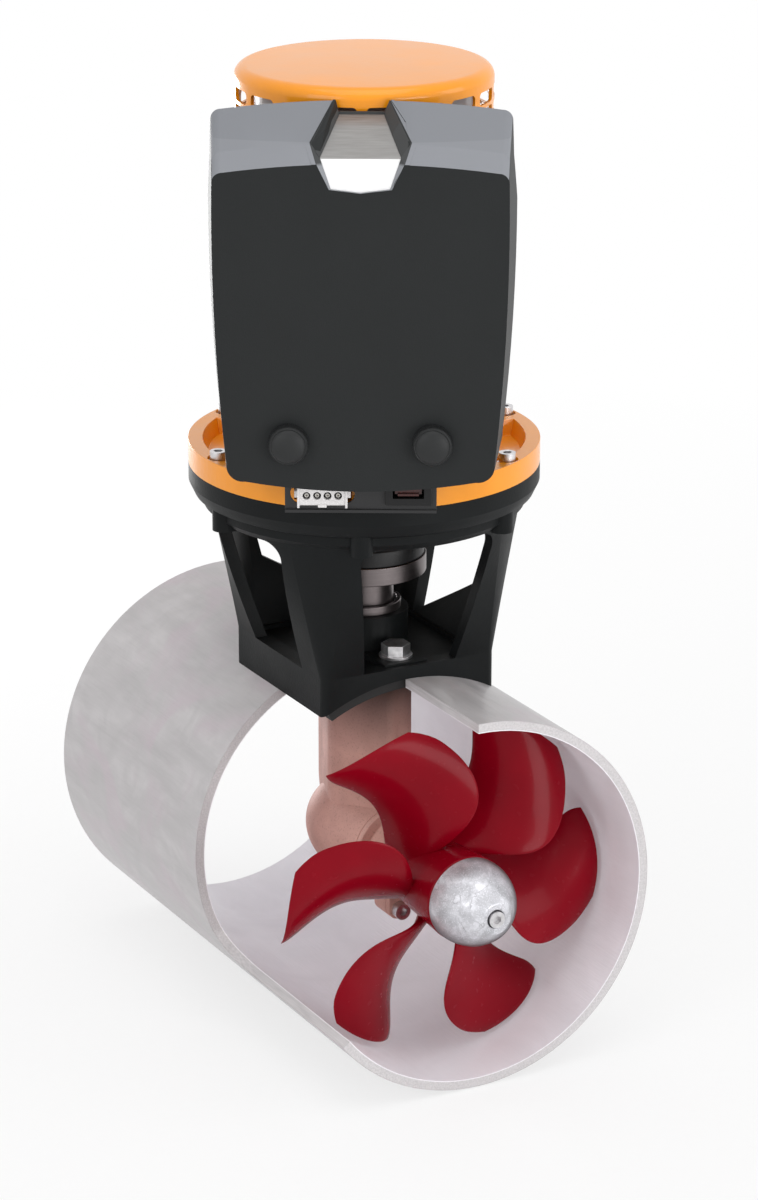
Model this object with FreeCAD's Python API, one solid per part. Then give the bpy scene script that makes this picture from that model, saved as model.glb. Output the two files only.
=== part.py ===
"""Bow thruster: electric motor on a saddle bracket, bevel-geared tail and propeller in a tunnel.

Frame: origin where the motor axis crosses the tunnel axis, +X along the tunnel towards the
propeller, +Z up along the motor, millimetres. The motor and its cover are modelled facing -Y
and are then turned by COVER_TURN, so that the cover looks between the tunnel's end and its side.
"""
import FreeCAD, Part
import math
import os

V = FreeCAD.Vector

# ---- tunnel -------------------------------------------------------------------------------
TUNNEL_OUTER_R = 97.5
TUNNEL_WALL = 5.0
TUNNEL_BACK = -164.5
TUNNEL_FRONT = 122.5
WINDOW_BACK = 0.0            # the display window runs from here to the front end
WINDOW_TOP_DEG = 91.0        # measured from +Y towards +Z
WINDOW_LOW_DEG = 218.0
WINDOW_CORNER_R = 24.0
LEG_HOLE_R = 22.0

# ---- fits ---------------------------------------------------------------------------------
RUNNING = 0.05               # radial clearance of shafts in bearings, hubs and seals
LOOSE = 0.4                  # clearance round pieces that only pass through or lie near

# ---- tail -------------------------------------------------------------------------------
TAIL_GASKET = 1.5
TAIL_SPIGOT_R = 18.0
TAIL_SPIGOT_TOP = TUNNEL_OUTER_R + 12.5
LEG_R = 19.5                 # round the drive shaft
LEG_END_R = 8.0              # round each base bolt
LEG_FLANGE_DEPTH = 22.0
LEG_SLOPE_Z = 52.0           # the front edge starts to lean back here
CASE_R = 25.5
CASE_BACK = -40.0
CASE_FRONT = 34.0
CASE_CAVITY_R = 21.6
CASE_CAVITY_BACK = -15.0
CAP_FLANGE = 4.0
CAP_NOSE_R = 16.5
CAP_NOSE_FRONT = 50.0
LUG_RADIUS = 32.5
LUG_R = 5.6
LUG_SCREW_R = 2.5

# ---- gears --------------------------------------------------------------------------------
PINION_TEETH = 12
CROWN_TEETH = 18
GEAR_MODULE = 2.1
GEAR_FACE = 7.5
GEAR_BACKING = 4.0

# ---- shafts -------------------------------------------------------------------------------
DRIVE_SHAFT_R = 7.5
PINION_SHAFT_R = 6.0
PROP_SHAFT_R = 8.0
PROP_SHAFT_BACK = -24.0
BEARING_WIDTH = 9.0
DRIVE_BEARING_R = 14.0
PINION_BEARING_TOP = 39.0

# ---- propeller ----------------------------------------------------------------------------
BLADES = 6
TIP_CLEARANCE = 3.5
PROP_R = TUNNEL_OUTER_R - TUNNEL_WALL - TIP_CLEARANCE
HUB_BACK = 51.0
HUB_FRONT = 110.0
HUB_BACK_R = 19.0
HUB_FRONT_R = 22.6
ANODE_FRONT = 139.0
ANODE_TIP_R = 8.5
BLADE_THICKNESS = 4.2
BLADE_PHASE = -2.0
BLADE_CAMBER = 0.09          # of the radius
# Each blade edge is a cubic in the share of the way from root to tip: angle in degrees, then x.
BLADE_ROOT_R = 22.0
TRAILING_ANGLE = (34.2, -123.8, 192.1, -86.3)
TRAILING_X = (61.3, 37.1, -43.7, 17.6)
LEADING_ANGLE = (-17.7, -113.2, 179.3, -64.8)
LEADING_X = (91.6, 73.7, -125.4, 48.9)
TIP_ROUND_R = PROP_R - 9.0   # from here on the blade's corners are rounded off
TRAILING_ROUND = 0.05        # share of the chord taken off at the tip
LEADING_ROUND = 0.07

# ---- bracket ------------------------------------------------------------------------------
BASE_HALF = 49.1
BASE_CORNER_R = 4.0
SILL_Z = TUNNEL_OUTER_R + 6.5
FLOOR_Z = TUNNEL_OUTER_R + 4.5
BOLT_PAD_Z = TUNNEL_OUTER_R + 7.5
BASE_BOLT_X = 34.0
BASE_BOLT_R = 4.0
SHELL_TOP_Z = 183.0
SHELL_TOP_R = 79.5
SHELL_WALL = 6.5
RING_BOTTOM_Z = 184.0
RING_TOP_Z = 200.7
RING_BORE_R = 71.0
BOSS_R = 22.5
BOSS_TOP_Z = TUNNEL_OUTER_R + 24.5
RING_FOOT_R = 77.0
RING_NECK_R = 81.5
RING_LIP = 2.85
SHIM_DEG = 118.0             # where the shim ends on the other side of the bracket
WINDOW_TOP_Z = 176.0
WINDOW_LOW_HALF = 26.0
WINDOW_HIGH_HALF = 38.5

# ---- coupling -----------------------------------------------------------------------------
COUPLING_R = 31.7
COUPLING_HUB_R = 15.0
COUPLING_HUB_LOW = BOSS_TOP_Z - 4.0
COUPLING_DISC_LOW = 142.0
COUPLING_DISC = 9.5
COUPLING_RUBBER = 27.0
SEAL_RING_R = 18.8
SEAL_RING = 4.5

# ---- motor --------------------------------------------------------------------------------
FLANGE_R = 88.85
FLANGE_TOP_Z = 212.7
FLANGE_RIM = 7.0
FLANGE_FLOOR_Z = 205.0
SCREW_CIRCLE_R = 82.6
SCREW_COUNT = 6
FLANGE_SCREW_R = 2.5
SCREW_SEAT_Z = 210.4
MOTOR_SEAT_R = 62.0
MOTOR_SEAT_Z = FLANGE_TOP_Z + 2.3
MOTOR_R = 56.0
MOTOR_WALL = 5.0
MOTOR_TOP_Z = 350.0
MAGNETS = 4
MAGNET_DEPTH = 7.5
ARMATURE_R = 42.6
ARMATURE_LOW_Z = 236.0
ARMATURE_TOP_Z = 330.0
MOTOR_SHAFT_R = 8.5
COMMUTATOR_R = 22.0
COMMUTATOR_LOW_Z = 352.0
COMMUTATOR_TOP_Z = 374.0
END_BELL_R = 54.0
END_BELL_TOP_Z = 392.0
CAP_R = 64.0
CAP_WALL = 1.6
CAP_LOW_Z = 344.0
CAP_TOP_Z = END_BELL_TOP_Z + 12.0
CAP_EDGE_R = 6.0
SLOT_ROWS = 5
SLOTS_PER_ROW = 18
SLOT_HEIGHT = 6.4
SLOT_PITCH_Z = 8.2
SLOT_TOP_Z = CAP_TOP_Z - 10.2
SLOT_FILL = 0.79             # of the pitch round the cap
SLOT_CORNER_R = 2.2

# ---- cover and controls -------------------------------------------------------------------
COVER_TURN = 61.0            # turns -Y to 29 degrees off the tunnel axis
COVER_FRONT = 101.0          # distances are measured forwards from the motor axis
COVER_CREASE = 94.0
COVER_LID_BACK = 66.0
COVER_BACK = 44.0
COVER_WALL = 2.5
COVER_LOW_Z = 218.5
COVER_FRONT_TOP_Z = 375.0
COVER_CREASE_Z = 383.5
COVER_LID_Z = 398.5
COVER_HALF_LOW = 63.5        # half-width of the front face at its foot
COVER_HALF_WIDE = 70.4       # and at its widest
COVER_WIDE_Z = 342.0
COVER_HALF_TOP = 69.6
COVER_CROWN = 4.4
COVER_SPLAY = 0.08           # how much the sides open towards the back
NOTCH_TOP = 13.2             # half-widths of the emblem's notch on the cover's surface
NOTCH_CREASE = 23.9
NOTCH_FRONT = 20.8
NOTCH_LOW = 14.8
NOTCH_LOW_Z = 362.6
NOTCH_POINT = 1.8            # how far the notch dips at its middle
NOTCH_WALL = 1.4
EMBLEM_TOP = 10.9            # half-widths of the plate in it
EMBLEM_FOLD = 19.4
EMBLEM_LOW = 14.2
EMBLEM_BACK = 67.0           # the plate's upper edge, its fold and how deep its foot lies
EMBLEM_BACK_Z = 391.5
EMBLEM_FRONT = 98.5
EMBLEM_FOLD_Z = 377.5
EMBLEM_SUNK = 1.2
EMBLEM_THICK = 1.6
NUT_X = 34.5
NUT_Z = 238.5
NUT_R = 9.7
NUT_HEIGHT = 9.0
NUT_STEM_R = 4.5
STUD_R = 3.0
PANEL_Y = 93.0               # front face of the connector panel
PANEL_THICK = 1.5
PANEL_HALF = 36.7
PANEL_LOW_Z = 201.2
PANEL_TOP_Z = 226.0
CONNECTOR_X = -18.5
CONNECTOR_Z = 210.6
CONNECTOR_HALF = 11.6
CONNECTOR_WAYS = 4
CONNECTOR_PITCH = 5.08
FUSE_X = 23.0
FUSE_Z = 212.0
FUSE_HALF = 9.8
PLATE_Y = 61.5               # front face of the plate that carries the relays
PLATE_THICK = 2.0
PLATE_HALF = 52.0
PLATE_TOP_Z = 341.0
RELAY_R = 15.5
RELAY_X = 33.0
RELAY_LOW_Z = 262.0
RELAY_TOP_Z = 322.0
TERMINAL_HALF = 14.0
TERMINAL_DEPTH = 8.0
TERMINAL_Z = 293.0
TERMINAL_PITCH = 24.0

TUNNEL_INNER_R = TUNNEL_OUTER_R - TUNNEL_WALL
PINION_PITCH_R = GEAR_MODULE * PINION_TEETH / 2
CROWN_PITCH_R = GEAR_MODULE * CROWN_TEETH / 2
CONE_LENGTH = math.hypot(PINION_PITCH_R, CROWN_PITCH_R)


# ---- helpers ------------------------------------------------------------------------------
def cyl(radius, low, high, x=0.0, y=0.0):
    """Upright cylinder between two heights."""
    return Part.makeCylinder(radius, high - low, V(x, y, low))


def cyl_x(radius, back, front, y=0.0, z=0.0):
    """Cylinder along the tunnel axis."""
    return Part.makeCylinder(radius, front - back, V(back, y, z), V(1, 0, 0))


def cyl_y(radius, back, front, x=0.0, z=0.0):
    """Cylinder that points forwards (-Y) between two distances from the motor axis."""
    return Part.makeCylinder(radius, front - back, V(x, -back, z), V(0, -1, 0))


def ring(outer, inner, low, high):
    """Upright ring."""
    return cyl(outer, low, high).cut(cyl(inner, low - 1, high + 1))


def block(x0, x1, y0, y1, z0, z1):
    """Box between two corners."""
    return Part.makeBox(x1 - x0, y1 - y0, z1 - z0, V(x0, y0, z0))


def front_block(x0, x1, back, front, z0, z1):
    """Box on the motor's front, between two distances from the motor axis."""
    return block(x0, x1, -front, -back, z0, z1)


def turned(profile):
    """Solid of revolution about Z from (radius, height) points."""
    points = [V(r, 0, z) for r, z in profile]
    return Part.Face(Part.makePolygon(points + points[:1])).revolve(V(0, 0, 0), V(0, 0, 1), 360)


def turned_x(profile):
    """Solid of revolution about X from (radius, x) points."""
    points = [V(x, 0, r) for r, x in profile]
    return Part.Face(Part.makePolygon(points + points[:1])).revolve(V(0, 0, 0), V(1, 0, 0), 360)


def revolved_edges(edges, axis):
    """Solid of revolution of a closed outline made of edges."""
    return Part.Face(Part.Wire(edges)).revolve(V(0, 0, 0), axis, 360)


def arc(start, middle, end):
    """Arc edge through three points."""
    return Part.Arc(start, middle, end).toShape()


def fused(shapes):
    """One solid from several that touch."""
    return shapes[0].multiFuse(list(shapes[1:])).removeSplitter()


def fused_list(shapes):
    """Compound of cutters."""
    return Part.makeCompound(list(shapes))


def around(shape, count, axis=V(0, 0, 1), start=0.0):
    """Copies of a shape spaced evenly about an axis through the origin."""
    copies = []
    for index in range(count):
        copy = shape.copy()
        copy.rotate(V(0, 0, 0), axis, start + index * 360.0 / count)
        copies.append(copy)
    return copies


def faced(shape):
    """Turn a piece of the motor unit from facing -Y to the way the cover looks."""
    copy = shape.copy()
    copy.rotate(V(0, 0, 0), V(0, 0, 1), COVER_TURN)
    return copy


def hexagon(across_flats, low, high, x=0.0, y=0.0):
    """Upright hexagonal prism."""
    reach = across_flats / math.sqrt(3)
    points = [V(x + reach * math.cos(math.radians(60 * k)), y + reach * math.sin(math.radians(60 * k)), low)
              for k in range(6)]
    return Part.Face(Part.makePolygon(points + points[:1])).extrude(V(0, 0, high - low))


def socket_screw(radius, seat, length, x=0.0, y=0.0):
    """Socket-head cap screw standing on a seat, with its shank downwards."""
    head = cyl(1.7 * radius, seat, seat + 2 * radius, x, y)
    key = hexagon(1.6 * radius, seat + radius, seat + 3 * radius, x, y)
    return fused([head, cyl(radius, seat - length, seat + radius / 2, x, y)]).cut(key)


def polar(radius, degrees, x=0.0):
    """Point on a circle about the tunnel axis, counted from +Y towards +Z."""
    return V(x, radius * math.cos(math.radians(degrees)), radius * math.sin(math.radians(degrees)))


def wedge(inner, outer, start, end, back, front):
    """Sector of a tube about the tunnel axis."""
    middle = (start + end) / 2
    edges = [Part.makeLine(polar(inner, start, back), polar(outer, start, back)),
             arc(polar(outer, start, back), polar(outer, middle, back), polar(outer, end, back)),
             Part.makeLine(polar(outer, end, back), polar(inner, end, back)),
             arc(polar(inner, end, back), polar(inner, middle, back), polar(inner, start, back))]
    return Part.Face(Part.Wire(edges)).extrude(V(front - back, 0, 0))


def base_bolt_holes(low, high, radius):
    """Upright holes at both base bolts."""
    return [cyl(radius, low, high, side * BASE_BOLT_X) for side in (-1, 1)]


# ---- tunnel -------------------------------------------------------------------------------
def window_cutter():
    """Sector that opens the tunnel's side, with one large rounded corner."""
    cutter = wedge(TUNNEL_INNER_R / 2, TUNNEL_OUTER_R * 1.5, WINDOW_TOP_DEG, WINDOW_LOW_DEG,
                   WINDOW_BACK, TUNNEL_FRONT + 1)
    low = polar(TUNNEL_INNER_R, WINDOW_LOW_DEG, WINDOW_BACK)
    corner = [edge for edge in cutter.Edges if edge.distToShape(Part.Vertex(low))[0] < 0.01]
    return cutter.makeFillet(WINDOW_CORNER_R, corner)


def tunnel():
    """Glass-fibre tube with a display window, holed for the tail's spigot and the base bolts."""
    tube = cyl_x(TUNNEL_OUTER_R, TUNNEL_BACK, TUNNEL_FRONT)
    tube = tube.cut(cyl_x(TUNNEL_INNER_R, TUNNEL_BACK - 1, TUNNEL_FRONT + 1))
    tube = tube.cut(window_cutter())
    tube = tube.cut(cyl(LEG_HOLE_R, 0, TUNNEL_OUTER_R + 1))
    return tube.cut(fused_list(base_bolt_holes(0, TUNNEL_OUTER_R + 1, BASE_BOLT_R + LOOSE)))


def saddle_shim():
    """Black filler under the bracket where the tunnel's wall is cut away."""
    shim = wedge(TUNNEL_INNER_R, TUNNEL_OUTER_R, WINDOW_TOP_DEG, SHIM_DEG, WINDOW_BACK, BASE_HALF - 1.5)
    shim = shim.cut(cyl(LEG_HOLE_R, 0, TUNNEL_OUTER_R + 1))
    return shim.cut(fused_list(base_bolt_holes(0, TUNNEL_OUTER_R + 1, BASE_BOLT_R + LOOSE)))


# ---- tail ---------------------------------------------------------------------------------
def leg_outline(grow, z):
    """Streamlined plan: a circle round the shaft drawn out to a small end round each base bolt."""
    big = LEG_R + grow
    small = LEG_END_R + grow
    lean = math.asin((big - small) / BASE_BOLT_X)
    tangent = V(math.sin(lean), math.cos(lean), 0)

    def at(x, radius, sx, sy):
        return V(sx * (x + radius * tangent.x), sy * radius * tangent.y, z)

    edges = []
    for sx, sy in ((1, 1), (-1, -1)):
        edges.append(Part.makeLine(at(0, big, sx, sy), at(BASE_BOLT_X, small, sx, sy)))
        edges.append(arc(at(BASE_BOLT_X, small, sx, sy), V(sx * (BASE_BOLT_X + small), 0, z),
                         at(BASE_BOLT_X, small, sx, -sy)))
        edges.append(Part.makeLine(at(BASE_BOLT_X, small, sx, -sy), at(0, big, sx, -sy)))
        edges.append(arc(at(0, big, sx, -sy), V(0, -sy * big, z), at(0, big, -sx, -sy)))
    return Part.Wire(Part.__sortEdges__(edges))


def side_prism(profile, half):
    """Closed (x, z) profile carried across the tunnel."""
    points = [V(x, -half, z) for x, z in profile]
    return Part.Face(Part.makePolygon(points + points[:1])).extrude(V(0, 2 * half, 0))


def leg_trims():
    """What the leg leaves free: room for the gearcase cap in front and a slope behind."""
    reach = BASE_BOLT_X + LEG_END_R
    front = side_prism([(CASE_FRONT, -1), (CASE_FRONT, CASE_R + 1), (reach + 1, LEG_SLOPE_Z),
                        (reach + 9, LEG_SLOPE_Z),
                        (reach + 9, -1)], CASE_R)
    back = side_prism([(-reach - 9, -1), (-reach - 9, CASE_R), (-reach, CASE_R), (CASE_BACK * 0.6, -1)],
                      CASE_R)
    return [front, back]


def tail_leg():
    """Bronze tail: saddle-topped streamlined leg, egg-shaped gearcase, spigot and screw lugs."""
    top = TUNNEL_INNER_R - TAIL_GASKET
    leg = Part.Face(leg_outline(0, 0)).extrude(V(0, 0, TUNNEL_INNER_R))
    leg = leg.common(cyl_x(top, -CASE_FRONT * 2, CASE_FRONT * 2))
    leg = leg.cut(fused_list(leg_trims()))
    back = [V(CASE_BACK, 0, 0), V(CASE_BACK * 0.72, 0, CASE_R * 0.72), V(0, 0, CASE_R + 0.5)]
    case_edges = [arc(*back), Part.makeLine(back[2], V(CASE_FRONT, 0, CASE_R - 1.5)),
                  Part.makeLine(V(CASE_FRONT, 0, CASE_R - 1.5), V(CASE_FRONT, 0, 0)),
                  Part.makeLine(V(CASE_FRONT, 0, 0), back[0])]
    case = revolved_edges(case_edges, V(1, 0, 0))
    spigot = cyl(TAIL_SPIGOT_R, top - LEG_FLANGE_DEPTH, TAIL_SPIGOT_TOP)
    lugs = [lug(-1, CASE_FRONT - 12, CASE_FRONT)]
    body = fused([leg, case, spigot] + lugs)
    cavity = fused([cyl_x(CASE_CAVITY_R, CASE_CAVITY_BACK, CASE_FRONT + 1),
                    cyl(DRIVE_BEARING_R, 0, PINION_BEARING_TOP)])
    cavity = fused([cavity, cyl_x(PROP_SHAFT_R + 4, PROP_SHAFT_BACK - 2, 0)])
    body = body.cut(cavity)
    body = body.cut(cyl(DRIVE_SHAFT_R + 2, 30, TAIL_SPIGOT_TOP + 1))
    body = body.cut(cyl(DRIVE_BEARING_R, TAIL_SPIGOT_TOP - BEARING_WIDTH - 1, TAIL_SPIGOT_TOP + 1))
    body = body.cut(cyl_x(LUG_SCREW_R, CASE_FRONT - 11, CASE_FRONT + 1, 0, -LUG_RADIUS))
    return body.cut(fused_list(base_bolt_holes(top - LEG_FLANGE_DEPTH + 4, top + 1, BASE_BOLT_R)))


def lug(side, back, front):
    """Screw lug under (or over) the gearcase, joined to it by a web."""
    boss = cyl_x(LUG_R, back, front, 0, side * LUG_RADIUS)
    low, high = sorted((side * LUG_RADIUS, side * (CASE_R - 6)))
    return fused([boss, block(back, front, -LUG_R, LUG_R, low, high)])


def gearcase_cap():
    """Front cap of the gearcase: flange with a lug, nose round the shaft seal."""
    flange = cyl_x(CASE_R - 1.5, CASE_FRONT, CASE_FRONT + CAP_FLANGE)
    nose = turned_x([(0, CASE_FRONT), (CAP_NOSE_R + 2, CASE_FRONT), (CAP_NOSE_R + 2, CASE_FRONT + CAP_FLANGE),
                     (CAP_NOSE_R, CASE_FRONT + CAP_FLANGE + 4), (CAP_NOSE_R, CAP_NOSE_FRONT), (0,
                                                                                               CAP_NOSE_FRONT)])
    cap = fused([flange, nose, lug(-1, CASE_FRONT, CASE_FRONT + CAP_FLANGE)])
    cap = cap.cut(cyl_x(PROP_SHAFT_R + 5, CASE_FRONT - 1, CAP_NOSE_FRONT + 1))
    return cap.cut(cyl_x(LUG_SCREW_R + LOOSE / 2, CASE_FRONT - 1, CAP_NOSE_FRONT, 0, -LUG_RADIUS))


def cap_screw():
    """Socket screw in the gearcase lug."""
    screw = socket_screw(LUG_SCREW_R, 0, 14.0)
    screw.rotate(V(0, 0, 0), V(0, 1, 0), 90)
    screw.translate(V(CASE_FRONT + CAP_FLANGE, 0, -LUG_RADIUS))
    return screw


def tail_gasket():
    """Rubber gasket between the tail's saddle and the tunnel."""
    outline = Part.Face(leg_outline(2.0, 0)).extrude(V(0, 0, TUNNEL_OUTER_R))
    shell = cyl_x(TUNNEL_INNER_R, -60, 60).cut(cyl_x(TUNNEL_INNER_R - TAIL_GASKET, -61, 61))
    gasket = outline.common(shell).common(block(-60, 60, -40, 40, 50, TUNNEL_OUTER_R))
    gasket = gasket.cut(cyl(TAIL_SPIGOT_R + LOOSE / 2, 0, TUNNEL_OUTER_R))
    return gasket.cut(fused_list(base_bolt_holes(0, TUNNEL_OUTER_R, BASE_BOLT_R + LOOSE)))


# ---- gears and shafts ---------------------------------------------------------------------
def bevel_gear(teeth, pitch_r, mate_r):
    """Straight bevel gear about Z, its cone's apex at the origin and its teeth facing down."""
    cone = math.atan2(pitch_r, mate_r)
    addendum = 0.8 * GEAR_MODULE
    dedendum = 1.15 * GEAR_MODULE
    inner_scale = 1 - GEAR_FACE / CONE_LENGTH

    def point(scale, offset, degrees):
        radius = scale * (pitch_r + offset * math.cos(cone))
        width = radius * math.sin(math.radians(degrees))
        return V(radius, width, scale * (mate_r - offset * math.sin(cone)))

    pitch = 360.0 / teeth
    half_root = pitch * 0.31
    half_pitch = pitch * 0.215
    half_tip = pitch * 0.11
    shape = ((-dedendum, -half_root), (0, -half_pitch), (addendum, -half_tip),
             (addendum, half_tip), (0, half_pitch), (-dedendum, half_root))
    wires = []
    for scale in (inner_scale, 1.0):
        points = [point(scale, offset, angle) for offset, angle in shape]
        wires.append(Part.makePolygon(points + points[:1]))
    tooth = Part.makeLoft(wires, True, True)
    if tooth.Volume < 0:
        tooth.reverse()
    inner_root = point(inner_scale, -dedendum * 0.96, 0)
    outer_root = point(1.0, -dedendum * 0.96, 0)
    body = turned([(0, inner_root.z), (inner_root.x, inner_root.z), (outer_root.x, outer_root.z),
                   (outer_root.x, outer_root.z + GEAR_BACKING), (0, outer_root.z + GEAR_BACKING)])
    return fused([body] + around(tooth, teeth))


def pinion():
    """Bevel pinion on the foot of the drive shaft."""
    gear = bevel_gear(PINION_TEETH, PINION_PITCH_R, CROWN_PITCH_R)
    return gear.cut(cyl(PINION_SHAFT_R, 0, 60))


def crown_gear():
    """Bevel gear on the propeller shaft, meshed with the pinion."""
    gear = bevel_gear(CROWN_TEETH, CROWN_PITCH_R, PINION_PITCH_R)
    gear.rotate(V(0, 0, 0), V(0, 0, 1), 180.0 / CROWN_TEETH)
    gear.rotate(V(0, 0, 0), V(0, 1, 0), 90)
    return gear.cut(cyl_x(PROP_SHAFT_R, -60, 60))


def drive_shaft():
    """Steel shaft from the coupling down to the pinion."""
    top = COUPLING_DISC_LOW + COUPLING_DISC - 1
    low = CROWN_PITCH_R - GEAR_FACE * 0.7
    shoulder = PINION_BEARING_TOP
    return fused([cyl(PINION_SHAFT_R, low, shoulder), cyl(DRIVE_SHAFT_R, shoulder, top)])


def prop_shaft():
    """Stainless shaft that carries the crown gear and the propeller."""
    return cyl_x(PROP_SHAFT_R, PROP_SHAFT_BACK, HUB_FRONT - 2)


def bearing_x(back, outer):
    """Ball bearing on the propeller shaft, its races as one ring with a groove."""
    body = cyl_x(outer, back, back + BEARING_WIDTH)
    body = body.cut(cyl_x(PROP_SHAFT_R + RUNNING, back - 1, back + BEARING_WIDTH + 1))
    groove = cyl_x(outer - 2.5, back - 1, back + 1).cut(cyl_x(PROP_SHAFT_R + 2, back - 2, back + 2))
    return body.cut(groove)


def bearing_z(low, outer, bore):
    """Ball bearing on an upright shaft, its races as one ring with a groove."""
    body = ring(outer, bore + RUNNING, low, low + BEARING_WIDTH)
    groove = ring(outer - 2, bore + 2, low + BEARING_WIDTH - 1, low + BEARING_WIDTH + 1)
    return body.cut(groove)


# ---- propeller ----------------------------------------------------------------------------
def cubic(coefficients, t):
    """Value of a cubic whose coefficients rise in order."""
    return sum(factor * t ** power for power, factor in enumerate(coefficients))


def blade_edges(radius):
    """Angle and x of the trailing and leading edge of a blade at a radius."""
    t = (radius - BLADE_ROOT_R) / (PROP_R - BLADE_ROOT_R)
    trailing = (cubic(TRAILING_ANGLE, t), cubic(TRAILING_X, t))
    leading = (cubic(LEADING_ANGLE, t), cubic(LEADING_X, t))
    past = max(0.0, (radius - TIP_ROUND_R) / (PROP_R - TIP_ROUND_R)) ** 2

    def between(share):
        return tuple(a + (b - a) * share for a, b in zip(trailing, leading))

    return between(TRAILING_ROUND * past), between(1 - LEADING_ROUND * past)


def blade_section(radius):
    """Cambered closed section of a blade wrapped on a cylinder."""
    (trail_deg, trail_x), (lead_deg, lead_x) = blade_edges(radius)
    camber = BLADE_CAMBER * radius
    fraction = (radius - HUB_BACK_R) / (PROP_R - HUB_BACK_R)
    thickness = BLADE_THICKNESS * (1.0 - 0.55 * fraction)
    stations = 7

    def at(s, side):
        bow = camber * 4 * s * (1 - s)
        swell = side * (0.12 + 0.88 * math.sqrt(max(0.0, 1 - (2 * s - 1) ** 2))) * thickness / 2
        degrees = trail_deg + (lead_deg - trail_deg) * s
        x = trail_x + (lead_x - trail_x) * s + bow * 0.7 + swell * 0.7
        shift = math.degrees((bow + swell) * 0.7 / radius)
        angle = math.radians(degrees + shift)
        return V(x, radius * math.cos(angle), radius * math.sin(angle))

    upper = [at(k / (stations - 1), 1) for k in range(stations)]
    lower = [at(k / (stations - 1), -1) for k in reversed(range(stations))]
    top = Part.BSplineCurve()
    top.interpolate(upper)
    bottom = Part.BSplineCurve()
    bottom.interpolate(lower)
    ends = [Part.makeLine(upper[-1], lower[0]), Part.makeLine(lower[-1], upper[0])]
    return Part.Wire([top.toShape(), ends[0], bottom.toShape(), ends[1]])


def blade():
    """One swept, cupped blade, trimmed to the propeller's radius."""
    span = PROP_R - BLADE_ROOT_R
    shares = [0.03, 0.18, 0.36, 0.54, 0.72, 0.87, 0.955, 1.022]
    radii = [HUB_BACK_R - 3] + [BLADE_ROOT_R + span * share for share in shares]
    sections = [blade_section(radius) for radius in radii]
    solid = Part.makeLoft(sections, True, False)
    return solid.common(cyl_x(PROP_R, 0, 200))


def propeller():
    """Six swept blades on a conical hub."""
    hub = turned_x([(0, HUB_BACK), (HUB_BACK_R, HUB_BACK), (HUB_FRONT_R, HUB_FRONT), (0, HUB_FRONT)])
    prop = fused([hub] + around(blade(), BLADES, V(1, 0, 0), BLADE_PHASE))
    return prop.cut(cyl_x(PROP_SHAFT_R, HUB_BACK - 1, HUB_FRONT + 1))


def anode():
    """Zinc spinner: blunt cone with a recess for its screw."""
    middle = (HUB_FRONT + ANODE_FRONT) / 2
    edges = [arc(V(HUB_FRONT, 0, HUB_FRONT_R), V(middle + 1, 0, HUB_FRONT_R * 0.86),
                 V(ANODE_FRONT, 0, ANODE_TIP_R)),
             Part.makeLine(V(ANODE_FRONT, 0, ANODE_TIP_R), V(ANODE_FRONT, 0, 0)),
             Part.makeLine(V(ANODE_FRONT, 0, 0), V(HUB_FRONT, 0, 0)),
             Part.makeLine(V(HUB_FRONT, 0, 0), V(HUB_FRONT, 0, HUB_FRONT_R))]
    body = revolved_edges(edges, V(1, 0, 0))
    body = body.cut(cyl_x(4.6, ANODE_FRONT - 4, ANODE_FRONT + 1))
    return body.cut(cyl_x(2.5, HUB_FRONT - 1, ANODE_FRONT))


def anode_screw():
    """Socket screw that holds the spinner on the shaft."""
    screw = socket_screw(2.5, 0, ANODE_FRONT - 4 - HUB_FRONT)
    screw.rotate(V(0, 0, 0), V(0, 1, 0), 90)
    screw.translate(V(ANODE_FRONT - 4, 0, 0))
    return screw


# ---- bracket ------------------------------------------------------------------------------
def rounded_square(half, corner, z):
    """Square with round corners, as eight edges that start on the +X side."""
    edges = []
    flat = half - corner
    diagonal = flat + corner * math.cos(math.pi / 4)
    for quarter in range(4):
        points = [V(half, -flat, z), V(half, flat, z), V(diagonal, diagonal, z), V(flat, half, z)]
        edges.append(rotated_edge(Part.makeLine(points[0], points[1]), quarter * 90))
        edges.append(rotated_edge(arc(points[1], points[2], points[3]), quarter * 90))
    return Part.Wire(edges)


def split_circle(radius, gap_deg, z):
    """Circle cut into four long and four short arcs, to be lofted to a rounded square."""
    def on(degrees):
        return V(radius * math.cos(math.radians(degrees)), radius * math.sin(math.radians(degrees)), z)

    edges = []
    for quarter in range(4):
        turn = quarter * 90
        low, high, after = turn - 45 + gap_deg, turn + 45 - gap_deg, turn + 45 + gap_deg
        edges.append(arc(on(low), on(turn), on(high)))
        edges.append(arc(on(high), on(turn + 45), on(after)))
    return Part.Wire(edges)


def rotated_edge(edge, degrees):
    """Edge turned about Z."""
    copy = edge.copy()
    copy.rotate(V(0, 0, 0), V(0, 0, 1), degrees)
    return copy


def bracket_shell(inset, low, high):
    """Hollow-able form that grows from the square base to the round ring."""
    square = rounded_square(BASE_HALF - inset, BASE_CORNER_R, low)
    circle = split_circle(SHELL_TOP_R - inset, 12.0, high)
    return Part.makeLoft([square, circle], True, True)


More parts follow.
